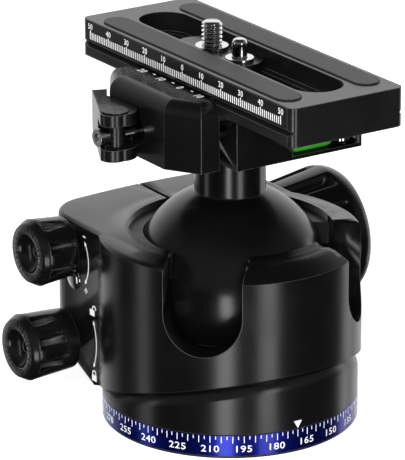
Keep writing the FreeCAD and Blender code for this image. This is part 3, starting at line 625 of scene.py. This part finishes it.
def put_piece(
    name: str, shape: Shape, body: Body, material: Material, slot: Slot, smooth: bool = False
) -> Object:
    """Makes a piece of the object from a shape.

    Args:
        name: the piece's name.
        shape: its points in millimetres, where it belongs, and its faces.
        body: the body that it rides on.
        material: its finish.
        slot: the record's slot; not used.
        smooth: whether its faces shade smoothly.

    Returns:
        The piece.
    """
    mesh = mesh_of(name, shape)
    mesh.polygons.foreach_set("use_smooth", np.full(len(mesh.polygons), smooth))
    mesh.materials.append(material)
    mesh.update()
    piece = linked(name, mesh)
    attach(piece, body.value)
    log.info("%s: %d faces on %s", name, len(mesh.polygons), body.value)
    return piece


def axis_shape(profile: np.ndarray, columns: int) -> Shape:
    """A closed turned surface from radius and height pairs, given from its low end to its high end."""
    angle = around(columns)
    return turned_surface(profile[:, 0], profile[:, 1], angle)


def raw_object(name: str, shape: Shape) -> Object:
    """A linked mesh object for use as a tool, from a shape in millimetres."""
    mesh = mesh_of(name, shape)
    work = bmesh.new()
    work.from_mesh(mesh)
    bmesh.ops.recalc_face_normals(work, faces=work.faces)
    work.to_mesh(mesh)
    work.free()
    return linked(name, mesh)

def cut_copy(
    name: str, node: str, cutter: Shape, body: Body, material: Material, slot: Slot
) -> Object:
    """A copy of a node with a shape cut out of it, which stands for the node.

    Args:
        name: the piece's name.
        node: the node that is copied and replaced.
        cutter: a closed shape in millimetres.
        body: the body that it rides on.
        material: its finish.
        slot: the record's slot; not used.

    Returns:
        The piece.
    """
    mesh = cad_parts[node].data.copy()
    work = bmesh.new()
    work.from_mesh(mesh)
    bmesh.ops.remove_doubles(work, verts=work.verts, dist=WELD * MM)
    work.to_mesh(mesh)
    work.free()
    whole = linked("whole", mesh)
    tool = raw_object("cutter", cutter)
    cut = whole.modifiers.new("cut", "BOOLEAN")
    cut.operation, cut.solver, cut.object = "DIFFERENCE", "EXACT", tool
    graph = bpy.context.evaluated_depsgraph_get()
    result = bpy.data.meshes.new_from_object(whole.evaluated_get(graph))
    for used in (whole, tool):
        data = used.data
        bpy.data.objects.remove(used)
        bpy.data.meshes.remove(data)
    result.name = name
    result.polygons.foreach_set("use_smooth", np.full(len(result.polygons), True))
    result.set_sharp_from_angle(angle=math.radians(SHARP_ANGLE))
    result.materials.clear()
    result.materials.append(material)
    piece = linked(name, result)
    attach(piece, body.value)
    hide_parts(node)
    log.info("%s: %d faces, cut from %s", name, len(result.polygons), node)
    return piece


def true_round(mesh: Mesh, radii: tuple[float, ...]) -> None:
    """Gives the faces that lie on cylinders about the Z axis the cylinders' own normals.

    Args:
        mesh: the mesh, whose other corners keep their normals.
        radii: the cylinders' radii in millimetres.
    """
    corners = read(mesh.vertices, "co", 3)[read(mesh.loops, "vertex_index", kind=int)] / MM
    normals = read(mesh.corner_normals, "vector", 3)
    counts = read(mesh.polygons, "loop_total", kind=int)
    face_normals = np.repeat(read(mesh.polygons, "normal", 3), counts, axis=0)
    reach = np.hypot(corners[:, 0], corners[:, 1])
    outward = np.column_stack([corners[:, 0], corners[:, 1], np.zeros(len(corners))])
    outward /= np.maximum(reach, WELD)[:, None]
    near = np.min(np.abs(reach[:, None] - np.array(radii)[None, :]), axis=1) < ROUND_REACH
    chosen = near & (np.sum(outward * face_normals, axis=1) > ROUND_FACING)
    normals[chosen] = outward[chosen]
    mesh.normals_split_custom_set(normals.tolist())


def dress(material: Material, *nodes: str) -> None:
    """Gives nodes of the frame a finish."""
    for name in nodes:
        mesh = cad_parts[name].data
        mesh.materials.clear()
        mesh.materials.append(material)


@dataclass
class PanningBase:
    """The foot with its blue degree ring."""

    finishes: Finishes
    ring_radius: float = 38.2
    ring_top: float = 7.2
    zero_at: float = 167.5
    long_step: float = 5.0
    long_tick: float = 2.1
    short_tick: float = 1.0
    tick_width: float = 0.24
    label_step: int = 15
    label_height: float = 2.1
    label_weight: float = 0.008
    label_stretch: float = 1.2
    label_middle: float = 3.05
    tick_gap: float = 0.25

    def ticks(self) -> Shape:
        """Long and short ticks that hang from just below the ring's top edge."""
        shapes = []
        half_step = self.long_step / 2
        top = self.ring_top - self.tick_gap
        for count in range(int(360 / half_step)):
            length = self.short_tick if count % 2 else self.long_tick
            bar = paint_bar(0.0, top - length / 2, self.tick_width, length)
            shapes.append(bar.moved(bent(self.ring_radius, self.zero_at - count * half_step)))
        return joined(shapes)

    def labels(self) -> Shape:
        """A number at each fifteen degrees, which grows clockwise."""
        shapes = []
        for value in range(0, 360, self.label_step):
            letters = lettering(str(value), self.label_height, self.label_weight, self.label_stretch)
            place = bent(self.ring_radius, self.zero_at - value)
            shapes.append(letters.shifted(0.0, self.label_middle).moved(place))
        return joined(shapes)

    def build(self) -> None:
        """Dresses the base and prints its scale."""
        dress(self.finishes.blue, "degree_ring")
        dress(self.finishes.black, "base_plate")
        dress(self.finishes.steel, "thread_insert", "base_screws", "pan_drum")
        put_piece("degree_ticks", self.ticks(), Body.BASE, self.finishes.paint, Slot.BLUE)
        put_piece("degree_numbers", self.labels(), Body.BASE, self.finishes.paint, Slot.BLUE)


@dataclass(frozen=True)
class MainKnob:
    """The large knob: a cone with long pockets that stop short of its rim.

    Places along the knob are shares of its length, and places round it are shares of half a pocket's pitch.
    """

    length: float = 28.0
    root: float = 17.6
    rim: float = 21.0
    rows: int = 42
    columns: int = 240
    flutes: int = 10
    flank_end: float = 0.82
    face: tuple = (
        (0.85, 0.0), (0.90, 0.25), (0.95, 0.8), (0.985, 1.5), (1.0, 2.3), (1.0, 6.5), (0.93, 9.0), (0.90, 17.0)
    )                               # a place along the knob, and how far inside the rim's radius
    rib: float = 0.50
    wall: float = 0.34
    pocket_low: tuple[float, float] = (0.05, 0.15)
    pocket_high: tuple[float, float] = (0.72, 0.80)
    pocket_depth: float = 3.4
    pocket_curve: float = 1.5

    def shape(self) -> Shape:
        """The knob with its axis on Z and its root at zero."""
        angle = around(self.columns)
        flank = np.linspace(0, self.flank_end, self.rows)
        height = np.concatenate([flank, [place for place, _ in self.face]])
        cone = self.root + (self.rim - self.root) * flank / self.flank_end
        radius = np.concatenate([cone, [self.rim - inside for _, inside in self.face]])
        turn = np.abs((angle * self.flutes / TAU) % 1.0 - 0.5) * 2
        across = np.clip((turn - self.rib) / self.wall, 0, 1)
        low, low_full = self.pocket_low
        high_full, high = self.pocket_high
        rise = np.clip((height - low) / (low_full - low), 0, 1)
        along = rise * np.clip((high - height) / (high - high_full), 0, 1)
        round_part = np.sin(across * math.pi / 2) ** self.pocket_curve
        depth = self.pocket_depth * round_part[None, :] * np.sqrt(along)[:, None]
        return turned_surface(radius[:, None] - depth, height * self.length, angle)


@dataclass(frozen=True)
class BossMarks:
    """The print beside the small knobs, with every place given as X and Z on the boss's side."""

    friction_arc: tuple = (-34.5, 46.2, 11.2, 30.0)  # X, Z, radius, and degrees up and down
    pan_arc: tuple = (-36.0, 21.8, 16.6, 22.0)
    less: tuple = (-25.6, 54.3, 1.5)  # X, Z and width
    more: tuple = (-24.9, 37.5, 1.7)
    sign_stroke: float = 0.45
    open_lock: tuple = (-21.6, 32.2)
    closed_lock: tuple = (-20.8, 11.6)
    arc_points: int = 28
    arc_stroke: float = 0.36
    arrow_length: float = 1.3
    arrow_half: float = 0.6
    lock: tuple = (1.25, 1.5, 0.4)  # half its width, and how far down and up
    bow: tuple = (0.85, 0.9, 0.42)  # radius, how far up and stroke
    bow_shift: float = 1.1
    bow_leg: float = 0.6
    free_leg: float = 0.2

    def arrow_arc(self, x: float, z: float, radius: float, reach: float) -> Shape:
        """A turn arc beside a small knob, with a head at each end.

        Args:
            x: the arc's centre across.
            z: the arc's centre up.
            radius: the arc's radius.
            reach: degrees up and down from the level.

        Returns:
            The flat arc.
        """
        angles = np.radians(np.linspace(-reach, reach, self.arc_points))
        line = np.column_stack([x + radius * np.cos(angles), z + radius * np.sin(angles)])
        shapes = [paint_band(line, self.arc_stroke)]
        for end, before in ((line[0], line[1]), (line[-1], line[-2])):
            ahead = (end - before) / np.linalg.norm(end - before)
            side = self.arrow_half * np.array([-ahead[1], ahead[0]])
            tip = end + self.arrow_length * ahead
            shapes.append(paint_polygon([tuple(end - side), tuple(tip), tuple(end + side)]))
        return joined(shapes)

    def padlock(self, x: float, z: float, is_open: bool) -> Shape:
        """A small padlock mark with its shackle closed or swung open."""
        half, down, up = self.lock
        body = paint_polygon([(x - half, z - down), (x + half, z - down), (x + half, z + up), (x - half, z + up)])
        body.faces = [tuple(reversed(face)) for face in body.faces]
        sweep = np.radians(np.linspace(0, 180, 13))
        radius, rise, stroke = self.bow
        middle = x + (self.bow_shift if is_open else 0.0)
        bow = np.column_stack([middle + radius * np.cos(sweep), z + rise + radius * np.sin(sweep)])
        first = bow[0] - [0, self.free_leg if is_open else self.bow_leg]
        path = np.concatenate([[first], bow, [bow[-1] - [0, self.bow_leg]]])
        return joined([body, paint_band(path, stroke)])

    def shape(self) -> Shape:
        """Both arcs with their signs: less and more above, an open and a closed padlock below."""
        stroke = self.sign_stroke
        less_x, less_z, less_width = self.less
        x, z, width = self.more
        shapes = [self.arrow_arc(*self.friction_arc), paint_bar(less_x, less_z, less_width, stroke)]
        shapes += [paint_bar(x, z, width, stroke), paint_bar(x, z, stroke, width), self.arrow_arc(*self.pan_arc)]
        return joined(shapes + [self.padlock(*self.open_lock, True), self.padlock(*self.closed_lock, False)])


@dataclass
class Housing:
    """The slit body with its knobs and the marks printed on it."""

    finishes: Finishes
    main_knob: MainKnob = MainKnob()
    boss_marks: BossMarks = BossMarks()
    body_radius: float = 39.1
    band_radius: float = 38.2
    index_angle: float = -2.5
    index_low: float = 7.5
    index_high: float = 9.8
    index_width: float = 2.8
    boss_face: float = -34.8
    boss_end: float = -20.0  # the X beyond which the boss's flat side runs into the round body
    knob_x: float = -36.0
    knob_base: float = 35.8
    main_z: float = 34.7
    friction_z: float = 48.5
    friction_length: float = 12.4
    pan_z: float = 19.3
    pan_length: float = 16.6
    hole_radius: float = 1.5
    hole_depth: float = 5.0
    bowl_radius: float = 6.0
    bowl_depth: float = 2.9
    bowl_curve: float = 1.3
    foot_z: float = 7.4
    cove_z: float = 14.2
    cove_slope: float = 0.261
    cove_share: float = 0.8  # the cove's height as a share of the room above the foot
    cove_least: float = 1.6
    cove_height: float = 5.6
    cove_depth: float = 2.2
    cutter_radius: float = 60.0
    cutter_gap: float = 0.04
    cutter_lap: float = 0.03  # how far the cutter starts above the cove, as a share of its height
    set_screw_at: tuple[float, float] = (-31.8, 39.6)
    set_screw_profile: tuple = ((3.6, -0.4), (3.6, 0.0), (3.4, 0.25), (2.9, 0.5), (2.2, 0.7), (1.2, 0.8))

    def index_mark(self) -> Shape:
        """A white triangle that points down at the scale."""
        half = self.index_width / 2
        flat = paint_polygon([(0.0, self.index_low), (half, self.index_high), (-half, self.index_high)])
        return flat.moved(bent(self.band_radius, self.index_angle))

    def on_boss(self, points: np.ndarray) -> np.ndarray:
        """Puts a flat shape on the side with the small knobs, across to +X and up to +Z."""
        round_part = np.sqrt(np.maximum(self.body_radius**2 - points[:, 0] ** 2, 0.0))
        face = np.maximum(-self.boss_face, np.where(points[:, 0] > self.boss_end, round_part, 0.0))
        return np.column_stack([points[:, 0], -face - points[:, 2], points[:, 1]])

    def cove_cutter(self) -> Shape:
        """The soft hollow under the upper body's tilted edge: a ring whose floor runs out to the lower band."""
        angle = around(144)
        line = self.cove_z + self.cove_slope * (self.band_radius * np.cos(angle))
        tall = np.clip(self.cove_share * (line - self.foot_z), self.cove_least, self.cove_height)
        lap, reach = self.cutter_lap, self.band_radius + self.cutter_gap
        floor = [(reach - self.cove_depth * (1 - t) ** 2, t - lap) for t in np.linspace(0, 1, 9)]
        rows = []
        for radius, share in [(self.cutter_radius, -lap)] + floor + [(self.cutter_radius, 1 + lap)]:
            edge = self.cove_z + self.cove_slope * radius * np.cos(angle)
            rows.append(np.stack([radius * np.cos(angle), radius * np.sin(angle), edge - share * tall], axis=-1))
        count = len(angle)
        last = (len(rows) - 1) * count
        faces = grid_faces(len(rows), count)
        faces += [(last + i, last + (i + 1) % count, (i + 1) % count, i) for i in range(count)]
        return Shape(np.concatenate(rows), [tuple(reversed(face)) for face in faces])

    def knob_cutter(self, z: float, length: float) -> Shape:
        """The bowl and the hole in a small knob's face."""
        hole, deep = self.hole_radius, self.bowl_depth
        profile = [(hole, -self.hole_depth), (hole, -deep)]
        for t in np.linspace(0.15, math.pi / 2, 8):
            out = hole + (self.bowl_radius - hole) * math.sin(t)
            profile.append((out, -deep * math.cos(t) ** self.bowl_curve))
        shape = axis_shape(np.array(profile + [(self.bowl_radius, 1.0)]), 48)
        return shape.moved(along_y(-1, self.knob_x, -(self.knob_base + length), z))

    def set_screw(self) -> Shape:
        """The bright screw head that shows under the upper small knob."""
        x, z = self.set_screw_at
        return axis_shape(np.array(self.set_screw_profile), 40).moved(along_y(-1, x, self.boss_face, z))

    def build(self) -> None:
        """Dresses the housing and its knobs and prints their marks."""
        finishes = self.finishes
        shell = cut_copy("upper_housing", "housing", self.cove_cutter(), Body.HOUSING, finishes.black, Slot.BLACK)
        true_round(shell.data, (self.body_radius, self.band_radius))
        small_knobs = (
            ("friction_grip", "friction_knob", self.friction_z, self.friction_length, Body.FRICTION_KNOB),
            ("pan_grip", "pan_knob", self.pan_z, self.pan_length, Body.PAN_KNOB),
        )
        for name, node, z, length, body in small_knobs:
            cut_copy(name, node, self.knob_cutter(z, length), body, finishes.knob_black, Slot.BLACK)
        shape = self.main_knob.shape().moved(along_y(1, self.knob_x, self.knob_base, self.main_z))
        grip = put_piece("main_grip", shape, Body.MAIN_KNOB, finishes.knob_black, Slot.BLACK, smooth=True)
        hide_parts("main_knob")
        put_piece("set_screw", self.set_screw(), Body.HOUSING, finishes.chrome, Slot.CHROME, smooth=True)
        dress(finishes.steel, "main_screw", "friction_screw", "pan_screw", "retaining_ring", "seat_spring")
        dress(finishes.steel, "main_washer", "friction_washer", "pan_washer")
        dress(finishes.acetal, "upper_ball_liner", "ball_seat")
        put_piece("index_mark", self.index_mark(), Body.HOUSING, finishes.paint, Slot.BLACK)
        marks = self.boss_marks.shape().moved(self.on_boss)
        put_piece("turn_marks", marks, Body.HOUSING, finishes.paint, Slot.BLACK)


@dataclass
class Clamp:
    """The ball, its neck, and the lever clamp on it."""

    finishes: Finishes
    level_x: float = 25.0
    level_z: float = 89.4
    level_radius: float = 2.2
    level_ends: tuple[float, float] = (3.5, 18.3)
    level_rows: int = 8
    pocket_low: tuple = (22.05, 3.05, 87.1)
    pocket_high: tuple = (29.0, 25.35, 89.0)
    jaw_top: float = 106.4
    mark_y: float = -21.3
    mark_step: float = 10.0
    mark_height: float = 2.5
    mark_weight: float = 0.02
    mark_stretch: float = 0.9
    mark_labels: tuple = ((-14.0, "20"), (-4.0, "10"), (6.0, "0"), (16.0, "10"))
    dash: tuple[float, float, float] = (0.9, 1.2, 0.45)  # how far up, width and height

    def level(self) -> Shape:
        """The level's tube with round ends, lying along Y."""
        first, last = self.level_ends
        radius = self.level_radius
        bend = np.linspace(0.1, math.pi / 2, self.level_rows)
        start = [(radius * math.sin(t), first + radius * (1 - math.cos(t))) for t in bend]
        finish = [(radius * math.sin(t), last - radius * (1 - math.cos(t))) for t in reversed(bend)]
        return axis_shape(np.array(start + finish), 32).moved(along_y(1, self.level_x, 0.0, self.level_z))

    def jaw_marks(self) -> Shape:
        """Small numbers at ten millimetres along the jaw's top, with a dash between."""
        shapes = []
        for across, text in self.mark_labels:
            letters = lettering(text, self.mark_height, self.mark_weight, self.mark_stretch)
            shapes.append(letters.shifted(across, 0.0))
            shapes.append(paint_bar(across + self.mark_step / 2, *self.dash))
        return joined(shapes[:-1]).shifted(0.0, self.mark_y, self.jaw_top)

    def build(self) -> None:
        """Dresses the ball, the clamp, its lever, its level and its stop pin."""
        finishes = self.finishes
        dress(finishes.ball_black, "ball")
        dress(finishes.black, "clamp_jaw", "cam_lever")
        pocket = block(self.pocket_low, self.pocket_high)
        cut_copy("clamp_base", "clamp_body", pocket, Body.HEAD, finishes.black, Slot.BLACK)
        level = put_piece("level_tube", self.level(), Body.HEAD, finishes.liquid, Slot.GREEN, smooth=True)
        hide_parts("level_vial", "vial_caps")
        put_piece("jaw_marks", self.jaw_marks(), Body.JAW, finishes.paint, Slot.BLACK)
        dress(finishes.steel, "stem_bolt", "stem_dowel", "guide_pins", "jaw_spring", "stop_spring")
        dress(finishes.chrome, "tie_rod", "tie_nut", "stop_pin")
        dress(finishes.black, "pivot_barrel")


@dataclass
class CameraPlate:
    """The dovetail plate with its pads, its slide and its two studs."""

    finishes: Finishes
    centre_x: float = 4.5
    side: float = -19.5
    scale_half: int = 50
    tick_low: float = 107.9
    tick_high: float = 110.0
    long_high: float = 110.5
    tick_width: float = 0.42
    label_height: float = 1.75
    label_middle: float = 111.75
    label_weight: float = 0.01
    screw_x: float = -9.5
    cut_half: float = 5.0
    cut_above: float = 0.05  # how far above the thread's start the plain stud is cut
    cut_past: float = 2.0
    thread_low: float = 112.2
    thread_high: float = 119.15
    thread_pitch: float = 1.27
    thread_crest: float = 3.1
    thread_root: float = 2.4
    thread_sunk: float = 0.3
    thread_row: float = 0.06
    thread_fade: float = 0.5
    thread_tip: float = 0.8

    def stud_cutter(self) -> Shape:
        """What takes the plain stud off the camera screw."""
        half = self.cut_half
        low = (self.screw_x - half, -half, self.thread_low + self.cut_above)
        return block(low, (self.screw_x + half, half, self.thread_high + self.cut_past))

    def thread(self) -> Shape:
        """The stud's helical thread: a ridge that climbs one pitch a turn, with a faded start and a cut tip."""
        angle = around(64)
        height = np.arange(self.thread_low - self.thread_sunk, self.thread_high, self.thread_row)[:, None]
        phase = ((height - self.thread_low) / self.thread_pitch - angle[None, :] / TAU) % 1.0
        ridge = np.clip(1.25 - 2.5 * np.abs(phase - 0.5), 0.0, 1.0)
        fade = np.clip((height - self.thread_low) / self.thread_fade, 0.0, 1.0)
        radius = self.thread_root + (self.thread_crest - self.thread_root) * ridge * fade
        tip = self.thread_crest - np.clip(height - (self.thread_high - self.thread_tip), 0.0, 1.0)
        return turned_surface(np.minimum(radius, tip), height[:, 0], angle).shifted(self.screw_x, 0.0)

    def scale(self) -> Shape:
        """Millimetre ticks to fifty each way, with a number at every ten."""
        shapes = []
        for step in range(-self.scale_half, self.scale_half + 1):
            high = self.tick_high if step % 10 else self.long_high
            middle = (self.tick_low + high) / 2
            shapes.append(paint_bar(step, middle, self.tick_width, high - self.tick_low))
            if step % 10 == 0:
                letters = lettering(str(abs(step)), self.label_height, self.label_weight)
                shapes.append(letters.shifted(step, self.label_middle))
        return joined(shapes).moved(along_y(-1, self.centre_x, self.side, 0.0))

    def build(self) -> None:
        """Dresses the plate and prints its scale."""
        finishes = self.finishes
        dress(finishes.plate_black, "camera_plate")
        dress(finishes.rubber, "rubber_pads")
        dress(finishes.black, "carriage", "stop_screws")
        dress(finishes.chrome, "screw_collar", "video_pin", "pin_collar")
        cut_copy("screw_head", "camera_screw", self.stud_cutter(), Body.SCREW, finishes.chrome, Slot.CHROME)
        thread = put_piece("screw_thread", self.thread(), Body.SCREW, finishes.chrome, Slot.CHROME, smooth=True)
        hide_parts("camera_screw")
        dress(finishes.steel, "pin_spring")
        put_piece("plate_scale", self.scale(), Body.PLATE, finishes.paint, Slot.BLACK)


@dataclass(frozen=True)
class SoftBox:
    """A rectangular light that faces the head.

    Its place is given as in Studio.aimed, its size in metres and its power in watts.
    """

    name: str
    turn: float
    rise: float
    size: tuple[float, float]
    power: float
    away: float = 1.2
    mirrored: bool = True


SOFT_BOXES = (
    SoftBox("front_strip", 33, -6, (0.30, 0.95), 3.4),
    SoftBox("left_strip", -80, -10, (0.25, 0.9), 0.9),
    SoftBox("right_strip", 122, -10, (0.30, 0.9), 0.9),
    SoftBox("centre_strip", -4, -18, (0.26, 0.55), 2.6),
    SoftBox("soft_fill", -10, 35, (1.2, 1.2), 24, away=1.3, mirrored=False),
)


@dataclass
class Studio:
    """A plain pale floor, soft lights, a white background and the camera."""

    azimuth: float = 56.257
    elevation: float = 19.377
    distance: float = 1171.9
    target_z: float = 56.286
    focal_pixels: float = 3968.3
    image_width: float = 405.0
    image_height: float = 460.0
    centre_column: float = 229.95
    centre_row: float = 232.86
    sensor: float = 36.0
    near_clip: float = 0.05  # in metres, as the next
    far_clip: float = 20.0
    far_glow: float = 0.95
    near_glow: float = 0.12
    dark_glow: float = 0.015
    top_glow: float = 0.10
    floor_radii: tuple[float, float] = (10.0, 4000.0)
    floor_rows: int = 3
    floor_columns: int = 64
    floor_z: float = -0.05
    floor_glow: float = 0.75

    def aimed(self, name: str, data: ID, turn: float, rise: float, away: float) -> Object:
        """Puts a camera or a light near the head and turns it to face the head.

        Args:
            name: the object's name.
            data: the camera or the light.
            turn: degrees round from the photograph's side, positive to its right.
            rise: degrees above the floor.
            away: metres from the head.

        Returns:
            The object.
        """
        side, up = math.radians(self.azimuth + turn), math.radians(rise)
        back = Vector((math.sin(side) * math.cos(up), -math.cos(side) * math.cos(up), math.sin(up)))
        holder = linked(name, data)
        holder.rotation_mode = "QUATERNION"
        holder.location = Vector((0, 0, self.target_z * MM)) + back * away
        holder.rotation_quaternion = back.to_track_quat("Z", "Y")
        return holder

    def camera(self) -> None:
        """The photograph's camera, found from the scales and the round edges."""
        lens = bpy.data.cameras.new("camera")
        lens.sensor_width = self.sensor
        lens.lens = self.focal_pixels * self.sensor / self.image_height
        lens.shift_x = (self.image_width / 2 - self.centre_column) / self.image_height
        lens.shift_y = (self.centre_row - self.image_height / 2) / self.image_height
        lens.clip_start, lens.clip_end = self.near_clip, self.far_clip
        bpy.context.scene.camera = self.aimed("camera", lens, 0.0, self.elevation, self.distance * MM)

    def light(self, box: SoftBox) -> None:
        """Sets up one soft box."""
        lamp = bpy.data.lights.new(box.name, "AREA")
        lamp.shape = "RECTANGLE"
        lamp.size, lamp.size_y = box.size
        lamp.energy = box.power
        self.aimed(box.name, lamp, box.turn, box.rise, box.away).visible_glossy = box.mirrored

    def background(self) -> None:
        """White to the camera; to every other ray, a room that is pale at the horizon and dark above and below."""
        world = bpy.data.worlds.new("studio")
        sheet = NodeSheet.on(world)
        toward = sheet.add("TexCoord").outputs["Generated"]
        parts = sheet.add("SeparateXYZ", Vector=toward)
        height = parts.outputs["Z"]
        near_rise = sheet.spread(height, -0.06, 0.10, 0.0, self.near_glow)
        far_rise = sheet.spread(height, -0.75, -0.45, 0.0, self.far_glow)
        fading = sheet.spread(height, 0.50, 0.80, 1.0, self.top_glow)
        turn = math.radians(self.azimuth)
        far_side = sheet.math(
            "ADD",
            sheet.math("MULTIPLY", parts.outputs["X"], -math.sin(turn)),
            sheet.math("MULTIPLY", parts.outputs["Y"], math.cos(turn)),
        )
        behind = sheet.spread(far_side, 0.3, 0.8, 0.0, 1.0)
        both = sheet.math("ADD", near_rise, sheet.math("MULTIPLY", behind, far_rise))
        glow = sheet.math("ADD", sheet.math("MULTIPLY", both, fading), self.dark_glow)
        seen = sheet.add("Background", Color=grey(1.0), Strength=1.0)
        room = sheet.add("Background", Color=grey(1.0), Strength=glow)
        to_camera = sheet.add("LightPath").outputs["Is Camera Ray"]
        sheet.show(sheet.mixed(to_camera, room, seen), "World")
        bpy.context.scene.world = world

    def floor_material(self) -> Material:
        """A pale matt floor that glows to the camera alone, so that it shows white with the head's shadow."""
        material = bpy.data.materials.new("pale_floor")
        sheet = NodeSheet.on(material)
        plain = sheet.add("BsdfDiffuse", Color=sheet.blend(sheet.noise(30.0, 2.0), grey(0.86), grey(0.90)))
        white = sheet.add("Emission", Color=grey(1.0), Strength=self.floor_glow)
        both = sheet.add("AddShader")
        sheet.feed(both.inputs[0], plain.outputs[0])
        sheet.feed(both.inputs[1], white.outputs[0])
        to_camera = sheet.add("LightPath").outputs["Is Camera Ray"]
        sheet.show(sheet.mixed(to_camera, plain, both))
        return material

    def floor(self) -> None:
        """A round pale floor."""
        rows, columns = self.floor_rows, self.floor_columns
        angle = around(columns)
        radius = np.linspace(*self.floor_radii, rows)[:, None] * np.ones(columns)
        rings = np.stack([radius * np.cos(angle), radius * np.sin(angle), 0 * radius], axis=-1).reshape(-1, 3)
        points = np.concatenate([rings, [[0, 0, 0]]]) + np.array([0, 0, self.floor_z])
        faces = [tuple(reversed(face)) for face in grid_faces(rows, columns)]
        faces += [(rows * columns, i, (i + 1) % columns) for i in range(columns)]
        mesh = mesh_of("floor", Shape(points, faces))
        mesh.update()
        mesh.materials.append(self.floor_material())
        floor = linked("floor", mesh)
        floor.visible_glossy = False
        floor.visible_shadow = False

    def build(self) -> None:
        """Sets up the floor, the lights, the background and the camera."""
        bpy.context.scene.view_settings.view_transform = "Standard"
        self.floor()
        self.background()
        for box in SOFT_BOXES:
            self.light(box)
        self.camera()


def main() -> None:
    """Builds the whole picture."""
    logging.basicConfig(level=logging.INFO)
    finishes = Finishes()
    PanningBase(finishes).build()
    Housing(finishes).build()
    Clamp(finishes).build()
    CameraPlate(finishes).build()
    Studio().build()


if __name__ == "__main__":
    main()
